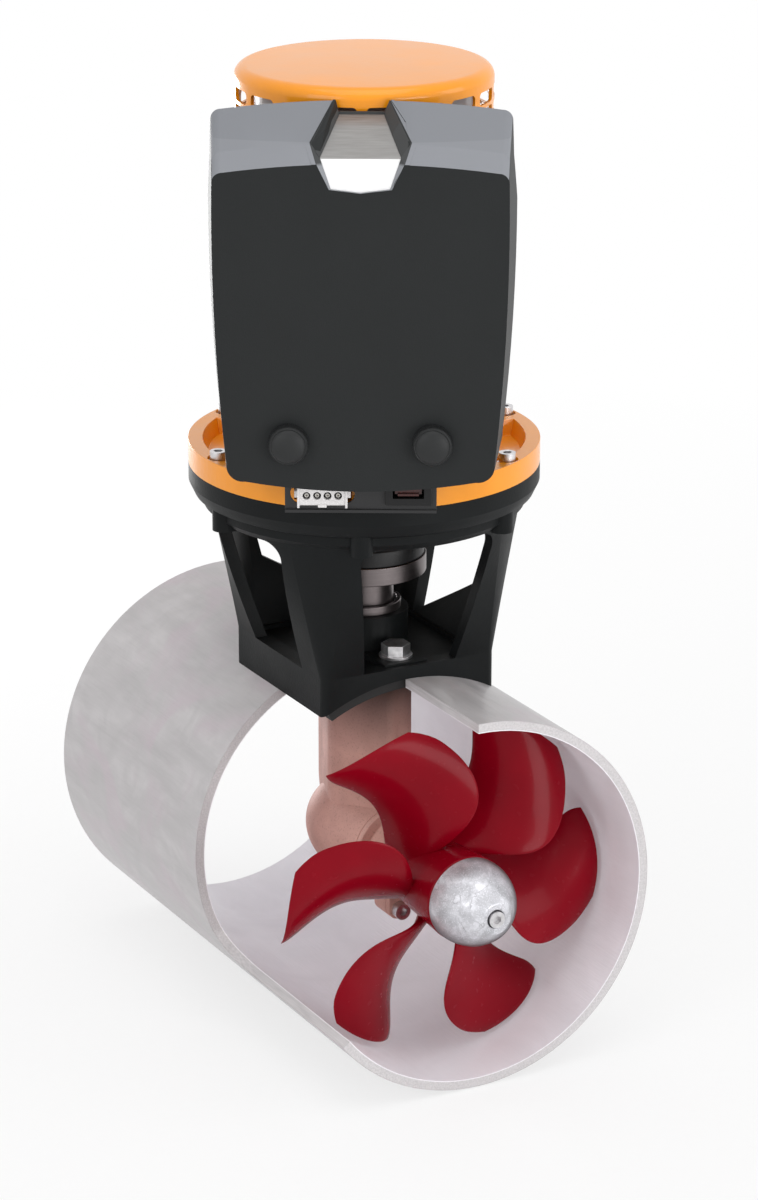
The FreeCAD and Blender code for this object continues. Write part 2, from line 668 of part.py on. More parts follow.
def window_in_face(low_left, low_right):
    """Cutter for the window on the +X face; each lower corner has its own height."""
    rim = 8.0
    left_low, right_low = V(0, -WINDOW_LOW_HALF, low_left), V(0, WINDOW_LOW_HALF, low_right)
    spread = (WINDOW_HIGH_HALF - WINDOW_LOW_HALF) / (WINDOW_TOP_Z - SILL_Z)
    left_low.y -= spread * (low_left - SILL_Z)
    right_low.y += spread * (low_right - SILL_Z)
    left_high, right_high = V(0, -WINDOW_HIGH_HALF, WINDOW_TOP_Z), V(0, WINDOW_HIGH_HALF, WINDOW_TOP_Z)
    face = Part.Face(Part.makePolygon([left_low, right_low, right_high, left_high, left_low]))
    cutter = face.extrude(V(SHELL_TOP_R + 10, 0, 0))
    tops = [edge for edge in cutter.Edges
            if min(v.Z for v in edge.Vertexes) > WINDOW_TOP_Z - 0.1 and abs(edge.BoundBox.XLength) > 1]
    return cutter.makeFillet(rim, tops)


def bracket():
    """Cast bracket: saddle base, four corner legs with windows between them, round top ring."""
    base = block(-BASE_HALF, BASE_HALF, -BASE_HALF, BASE_HALF, 0, SILL_Z)
    uprights = [edge for edge in base.Edges if edge.BoundBox.ZLength > 5]
    base = base.makeFillet(BASE_CORNER_R, uprights)
    shell = bracket_shell(0, SILL_Z, SHELL_TOP_Z).cut(bracket_shell(SHELL_WALL, SILL_Z, SHELL_TOP_Z))
    top = turned([(RING_BORE_R, RING_BOTTOM_Z - 8), (RING_FOOT_R, RING_BOTTOM_Z - 8),
                  (RING_NECK_R, RING_BOTTOM_Z - 4), (RING_NECK_R, RING_BOTTOM_Z),
                  (FLANGE_R - RING_LIP, RING_BOTTOM_Z + 2), (FLANGE_R, RING_BOTTOM_Z + 8),
                  (FLANGE_R, RING_TOP_Z), (RING_BORE_R, RING_TOP_Z)])
    body = fused([base, shell, top])
    windows = []
    for quarter, lows in enumerate(((SILL_Z, SILL_Z), (SILL_Z + 34, SILL_Z), (SILL_Z, SILL_Z + 34),
                                    (SILL_Z, SILL_Z))):
        windows.append(rotated_edge(window_in_face(*lows), quarter * 90))
    body = body.cut(fused_list(windows))
    pocket = block(-BASE_HALF + 9, BASE_HALF - 9, -BASE_HALF + 9, BASE_HALF - 9, FLOOR_Z, SILL_Z + 1)
    body = body.cut(pocket)
    pads = [block(side * BASE_BOLT_X - 11, side * BASE_BOLT_X + 11, -12, 12, FLOOR_Z - 2, BOLT_PAD_Z)
            for side in (-1, 1)]
    boss = cyl(BOSS_R, FLOOR_Z - 2, BOSS_TOP_Z)
    body = fused([body, boss] + pads)
    body = body.cut(cyl_x(TUNNEL_OUTER_R, -80, 80))
    body = body.cut(cyl(TAIL_SPIGOT_R + RUNNING, 0, TAIL_SPIGOT_TOP + 0.5))
    body = body.cut(cyl(COUPLING_HUB_R + 0.8, 0, BOSS_TOP_Z + 1))
    body = body.cut(fused_list(base_bolt_holes(0, BOLT_PAD_Z + 25, BASE_BOLT_R + LOOSE)))
    lugs = [faced(bracket_lug(turn)) for turn in range(0, 360, 60)]
    holes = around(cyl(FLANGE_SCREW_R, RING_BOTTOM_Z - 8, RING_TOP_Z + 1, 0, -SCREW_CIRCLE_R), SCREW_COUNT)
    body = fused([body] + lugs)
    return body.cut(fused_list([faced(hole) for hole in holes]))


def bracket_lug(turn):
    """Thickened boss under the ring at one flange screw."""
    boss = cyl(5.6, RING_BOTTOM_Z - 9, RING_BOTTOM_Z + 3, 0, -SCREW_CIRCLE_R + 2.5)
    web = block(-5.6, 5.6, -SCREW_CIRCLE_R + 2.5, -RING_BORE_R - 3, RING_BOTTOM_Z - 9, RING_BOTTOM_Z + 3)
    lug_shape = fused([boss, web])
    lug_shape.rotate(V(0, 0, 0), V(0, 0, 1), turn)
    return lug_shape


def base_bolts():
    """Two hex flange bolts that clamp bracket, tunnel and tail together."""
    bolts = []
    for side in (-1, 1):
        x = side * BASE_BOLT_X
        flange = cyl(8.5, BOLT_PAD_Z, BOLT_PAD_Z + 1.4, x)
        head = hexagon(13.0, BOLT_PAD_Z + 1, BOLT_PAD_Z + 7.0, x)
        shank = cyl(BASE_BOLT_R, TUNNEL_INNER_R - LEG_FLANGE_DEPTH + 4, BOLT_PAD_Z + 2, x)
        bolts.append(fused([flange, head, shank]))
    return Part.makeCompound(bolts)


# ---- coupling -----------------------------------------------------------------------------
def lower_coupling():
    """Steel lower half: hub on the drive shaft and a disc with jaws."""
    top = COUPLING_DISC_LOW + COUPLING_DISC
    half = fused([cyl(COUPLING_HUB_R, COUPLING_HUB_LOW, COUPLING_DISC_LOW + 1),
                  cyl(COUPLING_R, COUPLING_DISC_LOW, top)])
    jaws = around(jaw(top - 1, top + 9), 3)
    return fused([half] + jaws).cut(cyl(DRIVE_SHAFT_R, COUPLING_HUB_LOW - 1, top - 1))


def jaw(low, high):
    """One jaw of a coupling half, a sector between two radii."""
    sector = ring(COUPLING_R - 3, 14.0, low, high)
    return sector.common(block(0, COUPLING_R, -8, 8, low, high))


def upper_coupling():
    """Steel upper half on the motor shaft, its jaws turned between the lower ones."""
    low = COUPLING_DISC_LOW + COUPLING_DISC + COUPLING_RUBBER
    half = fused([cyl(COUPLING_R - 2, low, low + 8), cyl(COUPLING_HUB_R, low + 7, RING_TOP_Z - 1)])
    jaws = around(jaw(low - 9, low + 1), 3, V(0, 0, 1), 60)
    return fused([half] + jaws).cut(cyl(MOTOR_SHAFT_R, low, RING_TOP_Z))


def coupling_rubber():
    """Black flexible element between the two halves, grooved round its outside."""
    low = COUPLING_DISC_LOW + COUPLING_DISC
    high = low + COUPLING_RUBBER
    step = COUPLING_RUBBER / 3
    body = turned([(8, low), (COUPLING_R - 1, low), (COUPLING_R - 1, low + step - 1),
                   (COUPLING_R - 2.4, low + step),
                   (COUPLING_R - 1, low + step + 1), (COUPLING_R - 1, low + 2 * step - 1),
                   (COUPLING_R - 2.4, low + 2 * step), (COUPLING_R - 1, low + 2 * step + 1),
                   (COUPLING_R - 1, high), (8, high)])
    return body.cut(fused_list(around(jaw(low - 1, low + 9), 3) + around(jaw(high - 9, high + 1), 3,
                                                                         V(0, 0, 1), 60)))


def seal_ring():
    """Steel ring that holds the lip seal on the bracket's boss."""
    return ring(SEAL_RING_R, COUPLING_HUB_R + 1.6, BOSS_TOP_Z, BOSS_TOP_Z + SEAL_RING)


def lip_seal():
    """Rubber lip round the coupling's hub."""
    return ring(COUPLING_HUB_R + 1.6, COUPLING_HUB_R + RUNNING, BOSS_TOP_Z, BOSS_TOP_Z + SEAL_RING - 1.5)


# ---- motor --------------------------------------------------------------------------------
def flange_pocket():
    """Pocket of the motor flange between two screws, its walls drafted."""
    outer = FLANGE_R - FLANGE_RIM
    inner = MOTOR_SEAT_R + 2

    def outline(shrink, z):
        half = 21.5 - shrink * 0.6
        low, high = inner + shrink, outer - shrink

        def on(radius, degrees):
            angle = math.radians(degrees - 90)
            return V(radius * math.cos(angle), radius * math.sin(angle), z)

        return Part.Wire([arc(on(high, -half), on(high, 0), on(high, half)),
                          Part.makeLine(on(high, half), on(low, half)),
                          arc(on(low, half), on(low, 0), on(low, -half)), Part.makeLine(on(low, -half),
                                                                                        on(high, -half))])

    return Part.makeLoft([outline(3.0, FLANGE_FLOOR_Z), outline(0.0, FLANGE_TOP_Z + 1)], True, True)


def flange_notches():
    """Notches in the flange's front rim for the connector and the fuse holder."""
    low = FLANGE_FLOOR_Z - 0.6
    return [front_block(x - half, x + half, MOTOR_SEAT_R + 10, FLANGE_R + 1, low, FLANGE_TOP_Z + 1)
            for x, half in ((CONNECTOR_X, CONNECTOR_HALF + 2.5), (FUSE_X, FUSE_HALF + 1.0))]


def motor_flange():
    """Orange cast flange: raised rim, six drafted pockets, screw seats and the motor's seat."""
    disc = cyl(FLANGE_R, RING_TOP_Z, FLANGE_TOP_Z).cut(fused_list(around(flange_pocket(), SCREW_COUNT,
                                                                         V(0, 0, 1), 30)))
    seats = around(cyl(6.4, SCREW_SEAT_Z, FLANGE_TOP_Z + 1, 0, -SCREW_CIRCLE_R + 1), SCREW_COUNT)
    disc = disc.cut(fused_list(seats))
    body = fused([disc, cyl(MOTOR_SEAT_R, FLANGE_FLOOR_Z, MOTOR_SEAT_Z)])
    body = body.cut(fused_list(flange_notches()))
    body = body.cut(cyl(MOTOR_SHAFT_R + 3, RING_TOP_Z - 1, MOTOR_SEAT_Z + 1))
    body = body.cut(cyl(DRIVE_BEARING_R + 4, MOTOR_SEAT_Z - BEARING_WIDTH, MOTOR_SEAT_Z + 1))
    holes = around(cyl(FLANGE_SCREW_R + LOOSE / 2, RING_TOP_Z - 1, FLANGE_TOP_Z + 1, 0, -SCREW_CIRCLE_R),
                   SCREW_COUNT)
    return faced(body.cut(fused_list(holes)))


def flange_washers():
    """Washers under the flange screws."""
    washer = cyl(5.0, SCREW_SEAT_Z, SCREW_SEAT_Z + 1, 0, -SCREW_CIRCLE_R)
    washer = washer.cut(cyl(FLANGE_SCREW_R + LOOSE / 2, SCREW_SEAT_Z - 1, SCREW_SEAT_Z + 2, 0,
                            -SCREW_CIRCLE_R))
    return faced(Part.makeCompound(around(washer, SCREW_COUNT)))


def flange_screws():
    """Socket-head screws that hold the motor flange on the bracket."""
    screw = socket_screw(FLANGE_SCREW_R, SCREW_SEAT_Z + 1, 30.0, 0, -SCREW_CIRCLE_R)
    return faced(Part.makeCompound(around(screw, SCREW_COUNT)))


def motor_housing():
    """Steel tube of the motor."""
    return faced(ring(MOTOR_R, MOTOR_R - MOTOR_WALL, MOTOR_SEAT_Z, MOTOR_TOP_Z))


def field_magnets():
    """Curved magnets inside the housing."""
    outer = MOTOR_R - MOTOR_WALL
    tube = ring(outer, outer - MAGNET_DEPTH, ARMATURE_LOW_Z - 2, ARMATURE_TOP_Z + 2)
    sector = block(0, outer, -25, 25, ARMATURE_LOW_Z - 3, ARMATURE_TOP_Z + 3)
    return faced(Part.makeCompound(around(tube.common(sector), MAGNETS, V(0, 0, 1), 45)))


def armature():
    """Laminated armature with winding overhangs at both ends."""
    return turned([(MOTOR_SHAFT_R, ARMATURE_LOW_Z - 12), (30, ARMATURE_LOW_Z - 12), (36, ARMATURE_LOW_Z),
                   (ARMATURE_R, ARMATURE_LOW_Z), (ARMATURE_R, ARMATURE_TOP_Z), (36, ARMATURE_TOP_Z),
                   (30, ARMATURE_TOP_Z + 12), (MOTOR_SHAFT_R, ARMATURE_TOP_Z + 12)])


def commutator():
    """Copper commutator above the armature."""
    return ring(COMMUTATOR_R, MOTOR_SHAFT_R, COMMUTATOR_LOW_Z, COMMUTATOR_TOP_Z)


def motor_shaft():
    """Motor shaft from the top bearing down into the coupling."""
    low = COUPLING_DISC_LOW + COUPLING_DISC + COUPLING_RUBBER + 1
    return cyl(MOTOR_SHAFT_R, low, END_BELL_TOP_Z - 4)


def end_bell():
    """Grey end shield: a cup with brush openings in its side and the top bearing's seat."""
    wall = ring(END_BELL_R, END_BELL_R - 4, MOTOR_TOP_Z, END_BELL_TOP_Z)
    foot = ring(MOTOR_R, END_BELL_R - 4, MOTOR_TOP_Z, MOTOR_TOP_Z + 5)
    roof = ring(END_BELL_R, 13, END_BELL_TOP_Z - 4, END_BELL_TOP_Z)
    seat = ring(21, DRIVE_BEARING_R + 2, END_BELL_TOP_Z - 15, END_BELL_TOP_Z - 3)
    body = fused([wall, foot, roof, seat])
    openings = around(block(30, END_BELL_R + 5, -13, 13, MOTOR_TOP_Z + 8, END_BELL_TOP_Z - 8), 4,
                      V(0, 0, 1), 45)
    return faced(body.cut(fused_list(openings)))


def brush_gear():
    """Insulating ring with four brush boxes."""
    plate = ring(END_BELL_R - 4.2, COMMUTATOR_R + 5, COMMUTATOR_LOW_Z + 2, COMMUTATOR_LOW_Z + 6)
    boxes = around(block(COMMUTATOR_R + 5.5, COMMUTATOR_R + 20, -7, 7, COMMUTATOR_LOW_Z + 4,
                         COMMUTATOR_LOW_Z + 18), 4)
    holes = around(block(COMMUTATOR_R + 4, COMMUTATOR_R + 18, -5, 5, COMMUTATOR_LOW_Z + 6,
                         COMMUTATOR_LOW_Z + 16), 4)
    return faced(fused([plate] + boxes).cut(fused_list(holes)))


def brushes():
    """Carbon brushes that stand off the commutator by a running gap."""
    brush = block(COMMUTATOR_R - 2, COMMUTATOR_R + 16, -4.8, 4.8, COMMUTATOR_LOW_Z + 6.2,
                  COMMUTATOR_LOW_Z + 15.8)
    brush = brush.cut(cyl(COMMUTATOR_R + RUNNING, COMMUTATOR_LOW_Z, COMMUTATOR_TOP_Z))
    return faced(Part.makeCompound(around(brush, 4)))


def motor_cap():
    """Orange pressed cap: slightly domed lid, rolled edge and rows of ventilation slots."""
    def shell(inset):
        radius = CAP_R - inset
        edge = CAP_EDGE_R - inset
        top = CAP_TOP_Z - inset
        bend = edge * (1 - math.cos(math.pi / 4))
        edges = [Part.makeLine(V(0, 0, CAP_LOW_Z), V(radius, 0, CAP_LOW_Z)),
                 Part.makeLine(V(radius, 0, CAP_LOW_Z), V(radius, 0, top - 1.2 - edge)),
                 arc(V(radius, 0, top - 1.2 - edge), V(radius - bend, 0, top - 1.2 - bend),
                     V(radius - edge, 0, top - 1.2)),
                 Part.makeLine(V(radius - edge, 0, top - 1.2), V(0, 0, top)),
                 Part.makeLine(V(0, 0, top), V(0, 0, CAP_LOW_Z))]
        return revolved_edges(edges, V(0, 0, 1))

    cap = shell(0).cut(shell(CAP_WALL))
    half = CAP_R * math.sin(math.radians(180.0 / SLOTS_PER_ROW * SLOT_FILL))
    slot = block(CAP_R - 6, CAP_R + 4, -half, half, SLOT_TOP_Z - SLOT_HEIGHT, SLOT_TOP_Z)
    slot = slot.makeFillet(SLOT_CORNER_R, [edge for edge in slot.Edges if edge.BoundBox.XLength > 5])
    rows = []
    for row in range(SLOT_ROWS):
        copy = slot.copy()
        copy.translate(V(0, 0, -row * SLOT_PITCH_Z))
        rows += around(copy, SLOTS_PER_ROW)
    return faced(cap.cut(fused_list(rows)))


def cap_ledge():
    """Ring that carries the cap on the motor's housing."""
    return faced(ring(CAP_R - CAP_WALL, MOTOR_R, CAP_LOW_Z, CAP_LOW_Z + 5))


# ---- cover and controls -------------------------------------------------------------------
def cover_outline(distance, top_z, inset):
    """Barrel outline of the cover at one distance from the motor axis, as eight edges."""
    splay = (COVER_FRONT - distance) * COVER_SPLAY - inset
    low, high = COVER_LOW_Z + inset, top_z - inset
    corner_low, corner_high = 9.0 - inset, 5.0 - inset

    def side(z):
        """Half-width at a height, along the arc through foot, widest and top."""
        if z < COVER_WIDE_Z:
            share = (COVER_WIDE_Z - z) / (COVER_WIDE_Z - COVER_LOW_Z)
            return COVER_HALF_WIDE - (COVER_HALF_WIDE - COVER_HALF_LOW) * share ** 2 + splay
        share = (z - COVER_WIDE_Z) / (COVER_CREASE_Z - COVER_WIDE_Z)
        return COVER_HALF_WIDE - (COVER_HALF_WIDE - COVER_HALF_TOP) * share ** 2 + splay

    y = -distance
    foot, head = low + corner_low, high - corner_high - COVER_CROWN
    half_low, half_high = side(foot), side(head)
    middle = (foot + head) / 2
    edges = []
    points = {}
    for sign in (1, -1):
        points[sign] = [V(sign * (half_low - corner_low), y, low + 0.4),
                        V(sign * (half_low - corner_low * 0.25), y, low + corner_low * 0.3),
                        V(sign * half_low, y, foot), V(sign * side(middle), y, middle), V(sign * half_high,
                                                                                          y, head),
                        V(sign * (half_high - corner_high * 0.3), y, head + corner_high * 0.72),
                        V(sign * (half_high - corner_high), y, head + corner_high)]
    right, left = points[1], points[-1]
    edges.append(arc(left[0], V(0, y, low - COVER_CROWN), right[0]))
    edges.append(arc(right[0], right[1], right[2]))
    edges.append(arc(right[2], right[3], right[4]))
    edges.append(arc(right[4], right[5], right[6]))
    edges.append(arc(right[6], V(0, y, high), left[6]))
    edges.append(arc(left[6], left[5], left[4]))
    edges.append(arc(left[4], left[3], left[2]))
    edges.append(arc(left[2], left[1], left[0]))
    return Part.Wire(edges)


def cover_form(inset, back):
    """Solid outer form of the cover, or its hollow when inset."""
    stations = [(back, COVER_LID_Z + (COVER_LID_BACK - back) * 0.5),
                (COVER_CREASE - inset * 0.4, COVER_CREASE_Z),
                (COVER_FRONT - inset, COVER_FRONT_TOP_Z)]
    wires = [cover_outline(distance, top_z, inset) for distance, top_z in stations]
    return Part.makeLoft(wires, True, True)


INTO_COVER = V(0, 0.6, -0.8)   # from the emblem plate's face into the cover


def notch_ring(points, low, shift):
    """Closed ring of a symmetric notch: right-hand points, the lowest point, then the left hand."""
    right = [V(x + shift, -d, z) for x, d, z in points]
    left = [V(-v.x, v.y, v.z) for v in reversed(right)]
    return right + [V(0, -low[0], low[1] - shift)] + left


def notch_rings(shift):
    """Inner ring on the emblem plate and outer ring on the cover's surface."""
    outer = [(NOTCH_TOP, COVER_LID_BACK, COVER_LID_Z), (NOTCH_CREASE, COVER_CREASE, COVER_CREASE_Z),
             (NOTCH_FRONT, COVER_FRONT, COVER_FRONT_TOP_Z), (NOTCH_LOW, COVER_FRONT, NOTCH_LOW_Z)]
    inner = [(EMBLEM_TOP, EMBLEM_BACK, EMBLEM_BACK_Z), (EMBLEM_FOLD, EMBLEM_FRONT, EMBLEM_FOLD_Z),
             ((EMBLEM_FOLD + EMBLEM_LOW) / 2, (EMBLEM_FRONT + COVER_FRONT - EMBLEM_SUNK) / 2,
              (EMBLEM_FOLD_Z + NOTCH_LOW_Z) / 2),
             (EMBLEM_LOW, COVER_FRONT - EMBLEM_SUNK, NOTCH_LOW_Z)]
    bottom = NOTCH_LOW_Z - NOTCH_POINT
    return (notch_ring(inner, (COVER_FRONT - EMBLEM_SUNK, bottom), shift),
            notch_ring(outer, (COVER_FRONT, bottom), shift))


def stretched(start, end, share):
    """Points of a second ring moved on past it, away from the first."""
    return [b + (b - a) * share for a, b in zip(start, end)]


def ring_solid(first, second, first_middle, second_middle):
    """Solid between two rings of as many points, closed by a fan from a middle point over each."""
    count = len(first)
    triangles = []
    for k in range(count):
        n = (k + 1) % count
        triangles += [(first[k], first[n], second[n]), (first[k], second[n], second[k]),
                      (first[n], first[k], first_middle), (second[k], second[n], second_middle)]
    faces = [Part.Face(Part.makePolygon([a, b, c, a])) for a, b, c in triangles]
    solid = Part.Solid(Part.Shell(faces))
    if solid.Volume < 0:
        solid.reverse()
    return solid


def back_of_notch(ring_points, reach):
    """Move the two top points of a ring backwards and up, so that the notch runs out of the lid."""
    moved = list(ring_points)
    for top, following in ((0, 1), (-1, -2)):
        moved[top] = moved[top] + (moved[top] - moved[following]) * reach
    return moved


def notch_cutter(shift, depth):
    """Flared notch from a depth behind the emblem plate's face to beyond the cover's surface."""
    inner, outer = (back_of_notch(points, 0.2) for points in notch_rings(shift))
    fold = V(0, -EMBLEM_FRONT, EMBLEM_FOLD_Z)
    beyond = V(0, -COVER_FRONT - 8, COVER_CREASE_Z + 8)
    flare = ring_solid(inner, stretched(inner, outer, 0.8), fold, beyond)
    seat = ring_solid([point + INTO_COVER * depth for point in inner], inner, fold + INTO_COVER * depth, fold)
    return fused([flare, seat])


def side_band(profile, half):
    """Closed (distance, height) profile carried across the cover."""
    points = [V(-half, -d, z) for d, z in profile]
    return Part.Face(Part.makePolygon(points + points[:1])).extrude(V(2 * half, 0, 0))


def cover():
    """Moulded front cover: barrel outline, sloping lid, chamfer, emblem notch and nut holes."""
    shell = cover_form(0, COVER_BACK).cut(cover_form(COVER_WALL, COVER_BACK - 1))
    behind_lid = side_band([(COVER_BACK - 5, 340.0), (COVER_LID_BACK, 372.0), (COVER_LID_BACK, 430.0),
                            (COVER_BACK - 5, 430.0)], 100)
    shell = shell.cut(behind_lid)
    notch = notch_cutter(0.0, EMBLEM_THICK + LOOSE)
    walls = notch_cutter(NOTCH_WALL, EMBLEM_THICK + LOOSE + NOTCH_WALL)
    walls = walls.common(cover_form(0, COVER_LID_BACK + 0.1))
    shell = fused([shell, walls]).cut(notch)
    holes = [cyl_y(NUT_STEM_R + RUNNING, COVER_FRONT - 10, COVER_FRONT + 5, side * NUT_X,
                   NUT_Z) for side in (-1, 1)]
    bosses = [cyl_y(NUT_STEM_R + 3, COVER_FRONT - 7, COVER_FRONT - 1, side * NUT_X, NUT_Z) for side in (-1,
                                                                                                        1)]
    open_foot = front_block(-COVER_HALF_LOW + 8, COVER_HALF_LOW - 8, 0, COVER_FRONT - COVER_WALL,
                            COVER_LOW_Z - 10, COVER_LOW_Z + 6)
    body = fused([shell] + bosses).cut(fused_list(holes + [open_foot]))
    return faced(body)


def emblem_plate():
    """Bare two-facet plate in the cover's notch."""
    inner = notch_rings(-LOOSE / 2)[0]
    behind = [point + INTO_COVER * EMBLEM_THICK for point in inner]
    fold = V(0, -EMBLEM_FRONT, EMBLEM_FOLD_Z)
    return faced(ring_solid(behind, inner, fold + INTO_COVER * EMBLEM_THICK, fold))


def thumb_nut(side):
    """Black domed knob with a knurled rim on a short stem, threaded on its stud."""
    front = COVER_FRONT + 0.3
    rim = cyl_y(NUT_R, front, front + NUT_HEIGHT - 3)
    dome = revolved_edges([Part.makeLine(V(0, 0, 0), V(NUT_R - 0.8, 0, 0)),
                           arc(V(NUT_R - 0.8, 0, 0), V(NUT_R * 0.55, 0, 1.9), V(0, 0, 2.8)),
                           Part.makeLine(V(0, 0, 2.8), V(0, 0, 0))], V(0, 0, 1))
    dome.rotate(V(0, 0, 0), V(1, 0, 0), 90)
    dome.translate(V(0, -(front + NUT_HEIGHT - 3), 0))
    stem = cyl_y(NUT_STEM_R, COVER_FRONT - 12, front + 1)
    knob = fused([rim, dome, stem]).cut(cyl_y(STUD_R + RUNNING, COVER_FRONT - 14, COVER_FRONT + 2))
    knob.translate(V(side * NUT_X, 0, NUT_Z))
    return faced(knob)


def cover_studs():
    """Two threaded studs that stand on the relay plate and carry the thumb nuts."""
    studs = [fused([cyl_y(STUD_R, PLATE_Y, COVER_FRONT, side * NUT_X, NUT_Z),
                    cyl_y(STUD_R + 2, PLATE_Y, PLATE_Y + 4, side * NUT_X, NUT_Z)]) for side in (-1, 1)]
    return faced(Part.makeCompound(studs))


def relay_plate():
    """Bent steel plate on the motor flange that carries relays, module and studs."""
    back = PLATE_Y - PLATE_THICK
    plate = front_block(-PLATE_HALF, PLATE_HALF, back, PLATE_Y, MOTOR_SEAT_Z, PLATE_TOP_Z)
    foot = front_block(-20, 20, MOTOR_R + 0.5, PLATE_Y, MOTOR_SEAT_Z, MOTOR_SEAT_Z + PLATE_THICK)
    shelf = front_block(-PANEL_HALF + 8, PANEL_HALF - 8, back, PANEL_Y - PANEL_THICK,
                        PANEL_TOP_Z - PLATE_THICK, PANEL_TOP_Z)
    return faced(fused([plate, foot, shelf]))


def stadium(length, height, back, front, x, z):
    """Slot with round ends along the view direction."""
    radius = height / 2
    reach = length / 2 - radius
    middle = front_block(x - reach, x + reach, back, front, z - radius, z + radius)
    return fused([middle, cyl_y(radius, back, front, x - reach, z), cyl_y(radius, back, front, x + reach, z)])


def connector_panel():
    """Dark steel panel below the cover, slotted for the connector and the fuse holder."""
    back = PANEL_Y - PANEL_THICK
    panel = front_block(-PANEL_HALF, PANEL_HALF, back, PANEL_Y, PANEL_LOW_Z, PANEL_TOP_Z)
    lip = front_block(-PANEL_HALF, PANEL_HALF, back, PANEL_Y + 1.2, PANEL_LOW_Z, PANEL_LOW_Z + PANEL_THICK)
    body = fused([panel, lip]).cut(stadium(31.2, 10.4, back - 1, PANEL_Y + 2, CONNECTOR_X, CONNECTOR_Z))
    return faced(body.cut(front_block(FUSE_X - 10, FUSE_X + 10, back - 1, PANEL_Y + 2, FUSE_Z - 5,
                                      FUSE_Z + 5.5)))


def contacts(radius, back, front):
    """One cylinder at each of the connector's ways."""
    return [cyl_y(radius, back, front, CONNECTOR_X + (k - (CONNECTOR_WAYS - 1) / 2) * CONNECTOR_PITCH,
                  CONNECTOR_Z)
            for k in range(CONNECTOR_WAYS)]


def connector():
    """White in-line connector with side latches."""
    low, high = CONNECTOR_Z - 4.4, CONNECTOR_Z + 4.4
    left, right = CONNECTOR_X - CONNECTOR_HALF, CONNECTOR_X + CONNECTOR_HALF
    body = front_block(left, right, PANEL_Y - 16, PANEL_Y + 4, low, high)
    collar = front_block(left, right, PANEL_Y, PANEL_Y + 1.2, low - 1.2, high + 1.2)
    latch = front_block(left - 2, right + 2, PANEL_Y - 6, PANEL_Y + 1.6, CONNECTOR_Z - 1.6, CONNECTOR_Z + 1.6)
    holes = contacts(1.95, PANEL_Y - 8, PANEL_Y + 5) + contacts(0.9, PANEL_Y - 20, PANEL_Y)
    return faced(fused([body, collar, latch]).cut(fused_list(holes)))


def connector_pins():
    """Contact pins inside the connector."""
    return faced(Part.makeCompound(contacts(0.9, PANEL_Y - 19, PANEL_Y + 1)))


def fuse_holder():
    """Black blade-fuse holder with a sunk face."""
    body = front_block(FUSE_X - FUSE_HALF, FUSE_X + FUSE_HALF, PANEL_Y - 18, PANEL_Y + 1, FUSE_Z - 4.8,
                       FUSE_Z + 5.3)
    collar = front_block(FUSE_X - 11.3, FUSE_X + 11.3, PANEL_Y, PANEL_Y + 2.5, FUSE_Z - 6.6, FUSE_Z + 7)
    hollow = front_block(FUSE_X - 7.5, FUSE_X + 7.5, PANEL_Y - 8, PANEL_Y + 3, FUSE_Z - 3, FUSE_Z + 3)
    return faced(fused([body, collar]).cut(hollow))


def fuse():
    """Blade fuse in its holder."""
    return faced(front_block(FUSE_X - 6.5, FUSE_X + 6.5, PANEL_Y - 8, PANEL_Y - 0.5, FUSE_Z - 1.6,
                             FUSE_Z + 1.6))


def relays():
    """Two cylindrical relays, one for each way the motor turns."""
    pair = []
    for side in (-1, 1):
        x = side * RELAY_X
        y = -(PLATE_Y + RELAY_R + 0.1)
        can = cyl(RELAY_R, RELAY_LOW_Z, RELAY_TOP_Z, x, y)
        head = cyl(RELAY_R - 1.5, RELAY_TOP_Z - 1, RELAY_TOP_Z + 6, x, y)
        seat = front_block(x - 6, x + 6, PLATE_Y, PLATE_Y + 4, RELAY_LOW_Z + 8, RELAY_TOP_Z - 8)
        pair.append(fused([can, head, seat]))
    return faced(Part.makeCompound(pair))


def relay_studs():
    """Copper studs on the relays' heads."""
    studs = []
    for side in (-1, 1):
        for x in (-6.5, 6.5):
            y = -(PLATE_Y + RELAY_R + 0.1)
            studs.append(cyl(3.0, RELAY_TOP_Z + 6, RELAY_TOP_Z + 18, side * RELAY_X + x, y))
    return faced(Part.makeCompound(studs))


def bus_bar():
    """Copper bar that joins the relays' inner studs."""
    y = PLATE_Y + RELAY_R + 0.1
    reach = RELAY_X - 6.5
    bar = front_block(-reach - 6, reach + 6, y - 6, y + 6, RELAY_TOP_Z + 6.3, RELAY_TOP_Z + 8.3)
    holes = [cyl(3.1, RELAY_TOP_Z, RELAY_TOP_Z + 20, side * reach, -y) for side in (-1, 1)]
    return faced(bar.cut(fused_list(holes)))


def control_module():
    """Potted electronics box between the thumb-nut studs."""
    body = front_block(-24, 24, PLATE_Y, PLATE_Y + 20, 230.0, 262.0)
    edges = [edge for edge in body.Edges if edge.BoundBox.YLength > 5]
    return faced(body.makeFillet(2.5, edges))


def terminal_heights():
    """Heights of the two battery terminals."""
    return [TERMINAL_Z - TERMINAL_PITCH / 2, TERMINAL_Z + TERMINAL_PITCH / 2]


def power_studs():
    """Two battery terminals that stand out of their block between the relays."""
    seat = PLATE_Y + TERMINAL_DEPTH
    studs = [fused([cyl_y(4.0, seat, seat + 16, 0, z),
                    cyl_y(7.0, seat, seat + 3, 0, z)]) for z in terminal_heights()]
    return faced(Part.makeCompound(studs))


def terminal_block():
    """Insulating block of the battery terminals."""
    low, high = TERMINAL_Z - TERMINAL_PITCH, TERMINAL_Z + TERMINAL_PITCH
    return faced(front_block(-TERMINAL_HALF, TERMINAL_HALF, PLATE_Y, PLATE_Y + TERMINAL_DEPTH, low, high))


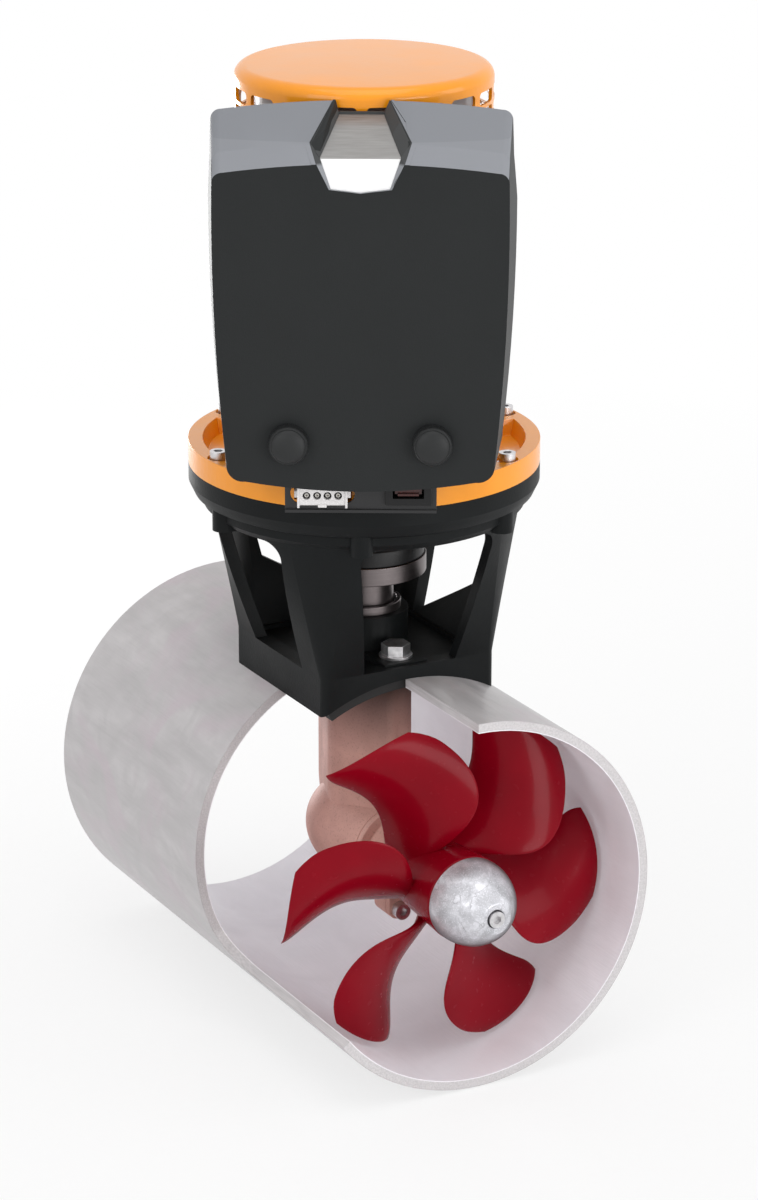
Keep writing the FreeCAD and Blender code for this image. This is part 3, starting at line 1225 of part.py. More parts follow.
NODES = {
    "tunnel": tunnel,
    "saddle_shim": saddle_shim,
    "tail_leg": tail_leg,
    "tail_gasket": tail_gasket,
    "gearcase_cap": gearcase_cap,
    "gearcase_cap_screw": cap_screw,
    "bracket": bracket,
    "base_bolts": base_bolts,
    "seal_ring": seal_ring,
    "lip_seal": lip_seal,
    "motor_flange": motor_flange,
    "flange_washers": flange_washers,
    "flange_screws": flange_screws,
    "motor_housing": motor_housing,
    "field_magnets": field_magnets,
    "end_bell": end_bell,
    "brush_gear": brush_gear,
    "brushes": brushes,
    "cap_ledge": cap_ledge,
    "motor_cap": motor_cap,
    "motor_lower_bearing": lambda: bearing_z(MOTOR_SEAT_Z - BEARING_WIDTH, DRIVE_BEARING_R + 4,
                                             MOTOR_SHAFT_R),
    "motor_upper_bearing": lambda: bearing_z(END_BELL_TOP_Z - 4 - BEARING_WIDTH, DRIVE_BEARING_R + 2,
                                             MOTOR_SHAFT_R),
    "drive_shaft_bearing": lambda: bearing_z(TAIL_SPIGOT_TOP - BEARING_WIDTH - 1, DRIVE_BEARING_R,
                                             DRIVE_SHAFT_R),
    "pinion_bearing": lambda: bearing_z(PINION_BEARING_TOP - BEARING_WIDTH, DRIVE_BEARING_R, PINION_SHAFT_R),
    "prop_front_bearing": lambda: bearing_x(CASE_FRONT - BEARING_WIDTH, CASE_CAVITY_R),
    "prop_rear_bearing": lambda: bearing_x(PROP_SHAFT_BACK + 1, PROP_SHAFT_R + 4),
    "prop_seal": lambda: cyl_x(PROP_SHAFT_R + 5, CASE_FRONT + 6, CAP_NOSE_FRONT - 2).cut(
        cyl_x(PROP_SHAFT_R + RUNNING, CASE_FRONT, CAP_NOSE_FRONT)),
    "motor_shaft": motor_shaft,
    "armature": armature,
    "commutator": commutator,
    "upper_coupling": upper_coupling,
    "coupling_rubber": coupling_rubber,
    "lower_coupling": lower_coupling,
    "drive_shaft": drive_shaft,
    "pinion": pinion,
    "crown_gear": crown_gear,
    "prop_shaft": prop_shaft,
    "propeller": propeller,
    "anode": anode,
    "anode_screw": anode_screw,
    "cover": cover,
    "emblem_plate": emblem_plate,
    "thumb_nut_left": lambda: thumb_nut(-1),
    "thumb_nut_right": lambda: thumb_nut(1),
    "cover_studs": cover_studs,
    "relay_plate": relay_plate,
    "relays": relays,
    "relay_studs": relay_studs,
    "bus_bar": bus_bar,
    "control_module": control_module,
    "terminal_block": terminal_block,
    "power_studs": power_studs,
    "connector_panel": connector_panel,
    "connector": connector,
    "connector_pins": connector_pins,
    "fuse_holder": fuse_holder,
    "fuse": fuse,
}

os.makedirs("parts", exist_ok=True)
for name, make in NODES.items():
    shape = make()
    shape.exportStep(os.path.join("parts", name + ".step"))
    box = shape.BoundBox
    print(name, "solids", len(shape.Solids), "valid", shape.isValid(), "volume", round(shape.Volume),
          "z", round(box.ZMin, 1), round(box.ZMax, 1))
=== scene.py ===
"""Finishes, softened castings and studio of an electric bow thruster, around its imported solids.

Everything is in metres in the part's own frame: +X along the tunnel towards the propeller, +Z up
along the motor. The control cover looks along FORWARD, which lies between the tunnel and its side.
"""

import logging
import math
from dataclasses import dataclass, field
from enum import Enum
from typing import Sequence

import bmesh
import bpy
import numpy as np
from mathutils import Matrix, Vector


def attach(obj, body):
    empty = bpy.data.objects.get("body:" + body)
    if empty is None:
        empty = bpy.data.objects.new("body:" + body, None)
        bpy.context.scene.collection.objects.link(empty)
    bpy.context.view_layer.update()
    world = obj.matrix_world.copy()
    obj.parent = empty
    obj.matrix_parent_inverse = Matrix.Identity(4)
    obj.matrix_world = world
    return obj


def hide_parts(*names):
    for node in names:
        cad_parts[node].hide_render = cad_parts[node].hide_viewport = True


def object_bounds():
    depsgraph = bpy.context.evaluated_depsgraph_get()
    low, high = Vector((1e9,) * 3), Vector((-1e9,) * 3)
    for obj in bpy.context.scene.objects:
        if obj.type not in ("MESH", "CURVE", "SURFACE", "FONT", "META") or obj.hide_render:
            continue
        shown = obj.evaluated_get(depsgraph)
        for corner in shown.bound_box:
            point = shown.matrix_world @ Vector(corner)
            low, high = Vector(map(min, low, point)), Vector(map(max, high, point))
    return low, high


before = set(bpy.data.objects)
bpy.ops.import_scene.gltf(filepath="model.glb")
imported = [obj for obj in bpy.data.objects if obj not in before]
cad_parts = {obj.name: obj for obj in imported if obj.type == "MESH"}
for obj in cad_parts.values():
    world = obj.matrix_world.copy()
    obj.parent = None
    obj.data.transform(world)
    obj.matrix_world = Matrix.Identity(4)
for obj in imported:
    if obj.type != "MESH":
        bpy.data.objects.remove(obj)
CAD_BOX = [list(corner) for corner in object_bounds()]

LOG = logging.getLogger("bow_thruster")
Colour = tuple[float, float, float]
Place = tuple[float, float, float]
Socket = bpy.types.NodeSocket

MM = 0.001
COVER_TURN = math.radians(61.0)
FORWARD = np.array([math.sin(COVER_TURN), -math.cos(COVER_TURN), 0.0])
SIDEWAYS = np.array([math.cos(COVER_TURN), math.sin(COVER_TURN), 0.0])
UP = np.array([0.0, 0.0, 1.0])
COVER_AXES = (SIDEWAYS, UP, FORWARD)
TUNNEL_AXES = (np.array([0.0, 1.0, 0.0]), UP, np.array([1.0, 0.0, 0.0]))
SOLID_WELD = 0.002 * MM
SURFACE_WELD = 0.001 * MM
FLAT_DEGREES = 0.4


class Body(Enum):
    """The moving bodies that pieces ride on."""

    HOUSING = "housing"
    DRIVE = "drive_line"
    PROPELLER = "prop_line"
    COVER = "cover"
    LEFT_NUT = "left_nut"
    RIGHT_NUT = "right_nut"


class Axis(Enum):
    """Axes that turning marks run about: the coordinates across the axis and the one along it."""

    TUNNEL = ("Z", "Y", "X")
    MOTOR = ("X", "Y", "Z")


# ---- shader groups ------------------------------------------------------------------------
class Wiring:
    """Short calls that place and link shader nodes in one tree."""

    def __init__(self, tree: bpy.types.NodeTree) -> None:
        """Keep the tree that nodes are added to."""
        self.tree = tree

    def node(self, kind: str, **values: object) -> bpy.types.Node:
        """Add a node.

        Args:
            kind: the node's Blender type.
            values: attributes by name, and input sockets by name with spaces as underscores.

        Returns:
            The new node.
        """
        made = self.tree.nodes.new(kind)
        for key, value in values.items():
            if hasattr(made, key):
                setattr(made, key, value)
                continue
            self.feed(made.inputs[key.replace("_", " ")], value)
        return made

    def feed(self, socket: Socket, value: object) -> None:
        """Link an output socket into a socket, or set the socket's own value.

        Args:
            socket: the input socket.
            value: an output socket or a plain value.
        """
        if isinstance(value, Socket):
            self.tree.links.new(value, socket)
        else:
            socket.default_value = value

    def maths(self, operation: str, first: object, second: object = 0.0, clamp: bool = False) -> Socket:
        """Arithmetic on one or two values.

        Args:
            operation: the Math node's operation.
            first: a socket or a number.
            second: a socket or a number.
            clamp: whether the result is held between 0 and 1.

        Returns:
            The result's socket.
        """
        made = self.node("ShaderNodeMath", operation=operation, use_clamp=clamp)
        self.feed(made.inputs[0], first)
        self.feed(made.inputs[1], second)
        return made.outputs[0]

    def times(self, first: object, second: object) -> Socket:
        """Product of two values."""
        return self.maths("MULTIPLY", first, second)

    def above(self, value: object, edge: float, soft: float) -> Socket:
        """Mask that goes from 0 to 1 as a value rises through an edge.

        Args:
            value: the value's socket.
            edge: where the mask is one half.
            soft: width of the change.

        Returns:
            The mask's socket.
        """
        made = self.node("ShaderNodeMapRange", From_Min=edge - soft / 2, From_Max=edge + soft / 2)
        self.feed(made.inputs["Value"], value)
        return made.outputs["Result"]

    def mix(self, mask: object, low: object, high: object) -> Socket:
        """Blend two colours by a mask.

        Args:
            mask: 0 gives low, 1 gives high.
            low: a colour socket or an RGB triple.
            high: a colour socket or an RGB triple.

        Returns:
            The blended colour's socket.
        """
        made = self.node("ShaderNodeMix", data_type="RGBA")
        self.feed(made.inputs["Factor"], mask)
        for socket, value in ((made.inputs[6], low), (made.inputs[7], high)):
            self.feed(socket, (*value, 1.0) if isinstance(value, tuple) else value)
        return made.outputs[2]

    def blend(self, mask: object, low: float, high: float) -> Socket:
        """Blend two numbers by a mask.

        Args:
            mask: 0 gives low, 1 gives high.
            low: the first number.
            high: the second number.

        Returns:
            The blended number's socket.
        """
        made = self.node("ShaderNodeMapRange", To_Min=low, To_Max=high)
        self.feed(made.inputs["Value"], mask)
        return made.outputs["Result"]

    def part(self, vector: Socket, key: str) -> Socket:
        """One coordinate of a vector."""
        return self.node("ShaderNodeSeparateXYZ", Vector=vector).outputs[key]

    def contrasted(self, noise: Socket, contrast: Socket) -> Socket:
        """Noise times a contrast about its middle, held from 0 to 1."""
        pushed = self.times(self.maths("SUBTRACT", noise, 0.5), contrast)
        return self.maths("ADD", pushed, 0.5, clamp=True)

    def effect(self, group: "ShaderGroup", **values: object) -> Socket:
        """Place a shader group and return what it puts out.

        Args:
            group: the effect.
            values: input sockets by name with spaces as underscores.

        Returns:
            The group's output socket.
        """
        made = self.tree.nodes.new("ShaderNodeGroup")
        made.node_tree = group.tree()
        for key, value in values.items():
            self.feed(made.inputs[key.replace("_", " ")], value)
        return made.outputs[0]

    def place(self) -> Socket:
        """Object coordinates, which are the part's own frame in metres."""
        return self.node("ShaderNodeTexCoord").outputs["Object"]


class ShaderGroup:
    """A named effect that several finishes share, built once as a node group."""

    name: str = ""
    inputs: dict[str, float | None] = {}
    output: str = "Mask"

    def tree(self) -> bpy.types.NodeTree:
        """Return the group's node tree, building it on first use.

        Returns:
            The shader node tree with its sockets and nodes in place.
        """
        found = bpy.data.node_groups.get(self.name)
        if found:
            return found
        tree = bpy.data.node_groups.new(self.name, "ShaderNodeTree")
        for label, value in self.inputs.items():
            kind = "NodeSocketVector" if value is None else "NodeSocketFloat"
            socket = tree.interface.new_socket(label, in_out="INPUT", socket_type=kind)
            if value is not None:
                socket.default_value = value
        tree.interface.new_socket(self.output, in_out="OUTPUT", socket_type="NodeSocketFloat")
        wiring = Wiring(tree)
        given, result = tree.nodes.new("NodeGroupInput"), tree.nodes.new("NodeGroupOutput")
        wiring.feed(result.inputs[self.output], self.value(wiring, given.outputs))
        return tree

    def value(self, wiring: Wiring, given: bpy.types.NodeOutputs) -> Socket:
        """Place the effect's nodes.

        Args:
            wiring: helper on the group's tree.
            given: the group's inputs.

        Returns:
            The socket that the group puts out.
        """
        raise NotImplementedError


class Grain(ShaderGroup):
    """Fine even grain, as on sprayed paint or an etched mould: layered noise."""

    name = "grain"
    inputs = {"Place": None, "Size": 0.001, "Detail": 2.0}
    output = "Height"

    def value(self, wiring: Wiring, given: bpy.types.NodeOutputs) -> Socket:
        """Noise whose scale is one over the grain's size.

        Args:
            wiring: helper on the group's tree.
            given: the group's inputs.

        Returns:
            The socket that the group puts out.
        """
        scale = wiring.maths("DIVIDE", 1.0, given["Size"])
        noise = wiring.node("ShaderNodeTexNoise", Vector=given["Place"], Scale=scale, Detail=given["Detail"])
        return noise.outputs["Fac"]


class Clouds(ShaderGroup):
    """Large soft patches of handling, casting skin or resin: noise pushed to a mask."""

    name = "clouds"
    inputs = {"Place": None, "Size": 0.03, "Contrast": 3.0, "Stretch": 0.0}

    def value(self, wiring: Wiring, given: bpy.types.NodeOutputs) -> Socket:
        """Noise warped by Stretch, then contrasted.

        Args:
            wiring: helper on the group's tree.
            given: the group's inputs.

        Returns:
            The socket that the group puts out.
        """
        scale = wiring.maths("DIVIDE", 1.0, given["Size"])
        noise = wiring.node("ShaderNodeTexNoise", Vector=given["Place"], Scale=scale, Detail=5.0,
                            Distortion=given["Stretch"])
        return wiring.contrasted(noise.outputs["Fac"], given["Contrast"])


class Streaks(ShaderGroup):
    """Long streaks in one direction: noise on a place squeezed along the other two."""

    name = "streaks"
    inputs = {"Place": None, "Width": 0.002, "Along": None, "Contrast": 2.0}

    def value(self, wiring: Wiring, given: bpy.types.NodeOutputs) -> Socket:
        """Place times Along, times one over the width, into contrasted noise.

        Args:
            wiring: helper on the group's tree.
            given: the group's inputs.

        Returns:
            The socket that the group puts out.
        """
        squeezed = wiring.node("ShaderNodeVectorMath", operation="MULTIPLY")
        wiring.feed(squeezed.inputs[0], given["Place"])
        wiring.feed(squeezed.inputs[1], given["Along"])
        scale = wiring.maths("DIVIDE", 1.0, given["Width"])
        noise = wiring.node("ShaderNodeTexNoise", Vector=squeezed.outputs[0], Scale=scale, Detail=3.0)
        return wiring.contrasted(noise.outputs["Fac"], given["Contrast"])


class Lathe(ShaderGroup):
    """Turning marks: noise on the distance from an axis and the place along it."""

    name = "lathe_marks"
    inputs = {"Across": 0.0, "Along": 0.0, "Pitch": 0.0005}

    def value(self, wiring: Wiring, given: bpy.types.NodeOutputs) -> Socket:
        """Noise of (radius, place along the axis, 0), one mark for each pitch.

        Args:
            wiring: helper on the group's tree.
            given: the group's inputs.

        Returns:
            The socket that the group puts out.
        """
        both = wiring.node("ShaderNodeCombineXYZ", X=given["Across"], Y=given["Along"])
        scale = wiring.maths("DIVIDE", 1.0, given["Pitch"])
        return wiring.node("ShaderNodeTexNoise", Vector=both.outputs[0], Scale=scale, Detail=2.0).outputs["Fac"]


GRAIN, CLOUDS, STREAKS, LATHE = Grain(), Clouds(), Streaks(), Lathe()


# ---- finishes -----------------------------------------------------------------------------
MATERIALS: dict[str, bpy.types.Material] = {}


class Skin(Wiring):
    """Short calls that dress one finish's Principled shader."""

    def __init__(self, material: bpy.types.Material, finish: "Finish") -> None:
        """Keep the shader and the finish, and place the object coordinates.

        Args:
            material: the material, with its Principled shader.
            finish: the finish that it shows.
        """
        super().__init__(material.node_tree)
        self.shader = material.node_tree.nodes["Principled BSDF"]
        self.finish = finish
        self.at = self.place()

    def constants(self, **values: float) -> None:
        """Set the shader's own sockets by name, with spaces as underscores."""
        for key, value in values.items():
            self.shader.inputs[key.replace("_", " ")].default_value = value

    def colour(self, tone: Socket) -> None:
        """Feed the shader's colour."""
        self.feed(self.shader.inputs["Base Color"], tone)

    def present(self) -> Socket:
        """The socket that feeds the shader's colour so far."""
        return self.shader.inputs["Base Color"].links[0].from_socket

    def rough(self, mask: Socket, low: float, high: float) -> None:
        """Let a mask vary the roughness between two multiples of the finish's."""
        base = self.finish.roughness
        self.feed(self.shader.inputs["Roughness"], self.blend(mask, base * low, base * high))

    def relief(self, height: Socket, depth: float) -> None:
        """Let a height from 0 to 1 stand out by a depth in metres."""
        bump = self.node("ShaderNodeBump", Height=height, Distance=depth)
        self.feed(self.shader.inputs["Normal"], bump.outputs["Normal"])

    def height(self) -> Socket:
        """Height above the tunnel's axis."""
        return self.part(self.at, "Z")

    def from_axis(self, *across: str) -> Socket:
        """Distance from the axis that two coordinates lie across: the root of their squares' sum."""
        parts = [self.part(self.at, key) for key in across]
        return self.maths("SQRT", self.maths("ADD", *(self.times(part, part) for part in parts)))

    def grain(self, size: float, detail: float = 2.0) -> Socket:
        """Fine grain of a size in metres."""
        return self.effect(GRAIN, Place=self.at, Size=size, Detail=detail)

    def clouds(self, size: float, contrast: float, stretch: float = 0.0) -> Socket:
        """Soft patches of a size in metres."""
        return self.effect(CLOUDS, Place=self.at, Size=size, Contrast=contrast, Stretch=stretch)

    def streaks(self, width: float, along: Place, contrast: float) -> Socket:
        """Streaks of a width in metres, long where a factor of along is small."""
        return self.effect(STREAKS, Place=self.at, Width=width, Along=along, Contrast=contrast)

    def tint(self, mask: Socket, low: float, high: float) -> Socket:
        """Blend two shades of the finish's colour by a mask."""
        return self.mix(mask, self.finish.shade(low), self.finish.shade(high))

    def wash(self, tone: Socket, mask: Socket, share: float, factor: float) -> Socket:
        """Lay a shade of the finish's colour over a tone, by a share of a mask."""
        return self.mix(self.times(mask, share), tone, self.finish.shade(factor))


@dataclass(frozen=True)
class Finish:
    """What every finish has: a name, a colour, a roughness and a gloss."""

    name: str
    colour: Colour
    roughness: float = 0.5
    gloss: float = 0.5

    @property
    def slot(self) -> str:
        """The record's material slot, which has the finish's name."""
        return self.name

    def material(self) -> bpy.types.Material:
        """Return this finish's material, building it on first use.

        Returns:
            The Blender material.
        """
        if self.name not in MATERIALS:
            made = MATERIALS[self.name] = bpy.data.materials.new(f"{self.name}_finish")
            made.use_nodes = True
            made.diffuse_color = (*self.colour, 1.0)
            skin = Skin(made, self)
            skin.constants(Specular_IOR_Level=self.gloss)
            self.dress(skin)
        return MATERIALS[self.name]

    def dress(self, skin: Skin) -> None:
        """Set the shader's sockets for this finish.

        Args:
            skin: helper on the material's tree and shader.
        """
        raise NotImplementedError

    def shade(self, factor: float) -> Colour:
        """The finish's colour made lighter or darker by a factor."""
        return tuple(min(1.0, channel * factor) for channel in self.colour)


@dataclass(frozen=True)
class Paint(Finish):
    """Sprayed paint on a casting or pressing: orange peel, faint patches, a clear coat."""

    peel: float = 0.0016
    peel_depth: float = 0.00005
    patch: float = 0.12
    coat: float = 0.3
    coat_roughness: float = 0.15

    def dress(self, skin: Skin) -> None:
        """Patchy colour, grainy relief and a coat of its own roughness.

        Args:
            skin: helper on the material's tree and shader.
        """
        patches = skin.clouds(size=0.035, contrast=2.5)
        skin.colour(skin.tint(patches, 1 - self.patch, 1 + self.patch))
        skin.rough(patches, 0.85, 1.15)
        skin.constants(Coat_Weight=self.coat, Coat_Roughness=self.coat_roughness)
        skin.relief(skin.grain(self.peel), self.peel_depth)


@dataclass(frozen=True)
class Moulded(Finish):
    """Moulded plastic with an etched texture."""

    texture: float = 0.0007
    texture_depth: float = 0.00004
    patch: float = 0.08
    coat: float = 0.0

    def dress(self, skin: Skin) -> None:
        """Fine relief, with a faint change of tone and gloss.

        Args:
            skin: helper on the material's tree and shader.
        """
        patches = skin.clouds(size=0.05, contrast=2.0)
        skin.colour(skin.tint(patches, 1 - self.patch, 1 + self.patch))
        grain = skin.grain(self.texture)
        skin.rough(grain, 0.85, 1.15)
        skin.constants(Coat_Weight=self.coat)
        skin.relief(grain, self.texture_depth)


@dataclass(frozen=True)
class CoverPlastic(Moulded):
    """The cover's plastic: charcoal front and sides, a pale painted reflection of overhead light on the lid and
    upper chamfer, dark notch walls.
    """

    # Painted reflection: pale tones in place of overhead light on the upward faces; the lid's is darker than the
    # chamfer's because the lid catches that light at a more grazing angle.
    lid_painted_reflection: Colour = (0.232, 0.241, 0.262)
    chamfer_painted_reflection: Colour = (0.255, 0.264, 0.286)
    lid_low: float = 0.355
    crease: float = 0.3835
    notch_half: float = 0.0241
    narrowing_up: float = 0.713
    narrowing_down: float = 0.365
    sharp: float = 0.0003

    def dress(self, skin: Skin) -> None:
        """Painted reflection: what faces up near the top is pale, in place of overhead light reflected by the
        charcoal plastic, but not within the notch.

        The notch's half-width is notch_half at the crease. It falls with the height above it by
        narrowing_up and with the depth below it by narrowing_down.

        Args:
            skin: helper on the material's tree and shader.
        """
        super().dress(skin)
        charcoal = skin.present()
        sideways = skin.node("ShaderNodeVectorMath", operation="DOT_PRODUCT")
        skin.feed(sideways.inputs[0], skin.at)
        sideways.inputs[1].default_value = tuple(SIDEWAYS)
        height = skin.height()
        upward = skin.part(skin.node("ShaderNodeTexCoord").outputs["Normal"], "Z")
        # Painted reflection: upward-facing surfaces above the lid's foot are marked for the pale tones.
        lid = skin.times(skin.above(height, self.lid_low, 0.0004), skin.above(upward, 0.3, 0.1))
        rise = skin.maths("SUBTRACT", height, self.crease)
        below = skin.maths("ADD", skin.times(rise, self.narrowing_down), self.notch_half)
        over = skin.maths("SUBTRACT", self.notch_half, skin.times(rise, self.narrowing_up))
        past = skin.maths("SUBTRACT", skin.maths("ABSOLUTE", sideways.outputs["Value"]),
                          skin.maths("MINIMUM", below, over))
        # Painted reflection: the chamfer's tone below the crease, the darker lid's tone above it.
        pale = skin.mix(skin.above(height, self.crease, self.sharp), self.chamfer_painted_reflection, self.lid_painted_reflection)
        skin.colour(skin.mix(skin.times(lid, skin.above(past, 0.0, self.sharp)), charcoal, pale))


@dataclass(frozen=True)
class NotchPlastic(Moulded):
    """The notch's walls: charcoal beside the lid, pale below the plate's fold."""

    low: Colour = (0.26, 0.27, 0.29)
    change: float = 0.3745

    @property
    def slot(self) -> str:
        """The walls are the cover's own plastic."""
        return "cover_plastic"

    def dress(self, skin: Skin) -> None:
        """The fold's height parts the two."""
        super().dress(skin)
        skin.colour(skin.mix(skin.above(skin.height(), self.change, 0.0015), self.low, skin.present()))


@dataclass(frozen=True)
class Emblem(Finish):
    """Two-facet plate: brushed grey above its fold and gloss white below it."""

    fold: float = 0.3769
    upper: Colour = (0.235, 0.228, 0.220)
    top: Colour = (0.15, 0.105, 0.08)
    top_low: float = 0.3885

    def dress(self, skin: Skin) -> None:
        """The fold's height parts the two; the grey is brushed across and darker to the top.

        Args:
            skin: helper on the material's tree and shader.
        """
        above = skin.above(skin.height(), self.fold, 0.0003)
        brush = skin.streaks(width=0.0004, along=(0.03, 0.03, 1.0), contrast=1.2)
        grey = skin.mix(skin.above(skin.height(), self.top_low, 0.003), self.upper, self.top)
        grey = skin.wash(grey, brush, 0.22, 0.8)
        skin.colour(skin.mix(above, self.colour, grey))
        skin.feed(skin.shader.inputs["Metallic"], skin.blend(above, 0.0, 0.15))
        skin.feed(skin.shader.inputs["Roughness"], skin.blend(above, 0.18, 0.42))
        skin.relief(brush, 0.00001)


@dataclass(frozen=True)
class Cast(Finish):
    """Rough cast metal: sandy skin, darker hollows, brighter rubbed patches and a painted shadow over the upper
    end.
    """

    metallic: float = 0.6
    rubbed: Colour = (0.60, 0.36, 0.28)
    patch: float = 0.022
    skin_size: float = 0.0011
    skin_depth: float = 0.0002
    # Height above which the colour is painted shadow; high enough by default to paint none.
    painted_shadow_above: float = 9.0

    def dress(self, skin: Skin) -> None:
        """Patches choose between dull and rubbed metal, flecked by the grain that gives relief; a painted shadow
        darkens the upper end.

        Args:
            skin: helper on the material's tree and shader.
        """
        patches = skin.clouds(self.patch, contrast=1.6, stretch=0.3)
        grain = skin.grain(self.skin_size, detail=4.0)
        tone = skin.mix(patches, self.shade(0.82), self.rubbed)
        tone = skin.wash(tone, skin.above(grain, 0.62, 0.12), 0.35, 0.5)
        # Painted shadow: above the given height, with an edge made ragged by the patches, the colour goes near
        # black in place of the shade that the bracket and tunnel cast on the leg.
        edge = skin.maths("ADD", skin.height(), skin.times(patches, 0.006))
        skin.colour(skin.mix(skin.above(edge, self.painted_shadow_above, 0.042), tone, self.shade(0.14)))
        skin.rough(patches, 1.1, 0.85)
        skin.constants(Metallic=self.metallic)
        skin.relief(grain, self.skin_depth)


@dataclass(frozen=True)
class Zinc(Finish):
    """Cast zinc: grey mottle of crystals with dark hairline cracks between them."""

    crystal: float = 0.0042
    bend: float = 0.0022
    metallic: float = 0.5

    def dress(self, skin: Skin) -> None:
        """Smudges of three sizes tint the metal; thin broken cracks follow warped cell edges; painted shade
        darkens it where it turns away from view.

        Args:
            skin: helper on the material's tree and shader.
        """
        bent = skin.node("ShaderNodeTexNoise", Vector=skin.at, Scale=260.0, Detail=2.0)
        warped = skin.node("ShaderNodeVectorMath", operation="MULTIPLY_ADD")
        skin.feed(warped.inputs[0], bent.outputs["Color"])
        warped.inputs[1].default_value = (self.bend,) * 3
        skin.feed(warped.inputs[2], skin.at)
        cells = skin.node("ShaderNodeTexVoronoi", Vector=warped.outputs[0], Scale=0.6 / self.crystal,
                          feature="DISTANCE_TO_EDGE").outputs["Distance"]
        broad = skin.clouds(size=0.011, contrast=3.0, stretch=0.8)
        fine = skin.clouds(size=0.0022, contrast=2.6, stretch=0.5)
        specks = skin.grain(size=0.0006, detail=3.0)
        cracks = skin.maths("SUBTRACT", 1.0, skin.above(cells, 0.008, 0.016))
        cracks = skin.times(cracks, skin.above(broad, 0.62, 0.3))
        tone = skin.tint(broad, 0.62, 1.25)
        tone = skin.wash(tone, fine, 0.45, 0.7)
        tone = skin.wash(tone, skin.above(specks, 0.6, 0.1), 0.5, 1.5)
        tone = skin.wash(tone, cracks, 0.7, 0.3)
        # Painted shade: Layer Weight's facing darkens the colour towards grazing edges, in place of the shade on
        # the spinner's sides.
        rim = skin.node("ShaderNodeLayerWeight", Blend=0.35).outputs["Facing"]
        skin.colour(skin.mix(skin.above(rim, 0.55, 0.35), tone, self.shade(0.2)))
        skin.rough(fine, 0.8, 1.25)
        skin.constants(Metallic=self.metallic)
        skin.relief(skin.maths("SUBTRACT", skin.times(fine, 0.5), cracks), 0.00008)


@dataclass(frozen=True)
class Turned(Finish):
    """Steel turned on a lathe, with marks about the tunnel's or the motor's axis."""

    axis: Axis = Axis.MOTOR
    pitch: float = 0.0006

    @property
    def slot(self) -> str:
        """One slot holds the steel of both axes."""
        return "machined_steel"

    def dress(self, skin: Skin) -> None:
        """Marks follow the distance from the axis and the place along it.

        Args:
            skin: helper on the material's tree and shader.
        """
        first, second, along = self.axis.value
        marks = skin.effect(LATHE, Across=skin.from_axis(first, second), Along=skin.part(skin.at, along),
                            Pitch=self.pitch)
        skin.colour(skin.wash(skin.tint(marks, 0.8, 1.2), skin.clouds(size=0.01, contrast=2.0), 0.3, 0.6))
        skin.rough(marks, 0.75, 1.25)
        skin.constants(Metallic=1.0)
        skin.relief(marks, 0.00003)


@dataclass(frozen=True)
class Plated(Finish):
    """Zinc-plated or rolled metal with fine scratches and a faint bloom."""

    def dress(self, skin: Skin) -> None:
        """Scratches one way and cloudy bloom in tone and gloss.

        Args:
            skin: helper on the material's tree and shader.
        """
        scratch = skin.streaks(width=0.0002, along=(1.0, 0.12, 1.0), contrast=1.6)
        skin.colour(skin.tint(skin.clouds(size=0.003, contrast=2.5), 0.8, 1.15))
        skin.rough(scratch, 0.8, 1.3)
        skin.constants(Metallic=1.0)
        skin.relief(scratch, 0.000008)


@dataclass(frozen=True)
class Rubber(Finish):
    """Black rubber: dull, with a dusty bloom."""

    def dress(self, skin: Skin) -> None:
        """Grain in relief and dust in tone.

        Args:
            skin: helper on the material's tree and shader.
        """
        dust = skin.clouds(size=0.008, contrast=2.5)
        skin.colour(skin.tint(dust, 0.8, 1.5))
        skin.rough(dust, 1.0, 1.2)
        skin.relief(skin.grain(size=0.0008), 0.00006)


@dataclass(frozen=True)
class Laminate(Finish):
    """Glass-fibre tube: cloudy resin streaked along it, pink stains, pale bore, fibrous cut edges."""

    bore: Colour = (0.90, 0.875, 0.92)
    bore_dull: Colour = (0.792, 0.77, 0.8096)
    stain: Colour = (0.50, 0.41, 0.46)
    outer_radius: float = 0.0975
    wall: float = 0.005
    coat: float = 0.15

    def dress(self, skin: Skin) -> None:
        """Distance from the tunnel's axis parts the bore, the cut wall and the outside.

        Args:
            skin: helper on the material's tree and shader.
        """
        radius = skin.from_axis("Y", "Z")
        soft = 0.0004
        outside = skin.above(radius, self.outer_radius - soft, soft)
        inside = skin.maths("SUBTRACT", 1.0, skin.above(radius, self.outer_radius - self.wall + soft, soft))
        clouds = skin.clouds(size=0.045, contrast=2.6, stretch=1.5)
        smoke = skin.clouds(size=0.03, contrast=3.6, stretch=2.2)
        wide = skin.streaks(width=0.012, along=(0.22, 1.0, 1.0), contrast=3.0)
        fine = skin.streaks(width=0.0009, along=(0.05, 1.0, 1.0), contrast=1.5)
        tone = skin.wash(skin.tint(wide, 0.84, 1.10), smoke, 0.45, 0.80)
        tone = skin.mix(skin.times(skin.above(clouds, 0.72, 0.5), 0.55), tone, self.stain)
        tone = skin.wash(tone, fine, 0.25, 1.25)
        bore = skin.mix(skin.times(clouds, 0.5), self.bore, self.bore_dull)
        skin.colour(skin.mix(inside, skin.mix(outside, skin.tint(fine, 0.92, 1.35), tone), bore))
        skin.rough(wide, 0.8, 1.2)
        skin.constants(Coat_Weight=self.coat)
        skin.relief(skin.maths("ADD", skin.times(fine, 0.35), wide), 0.00022)


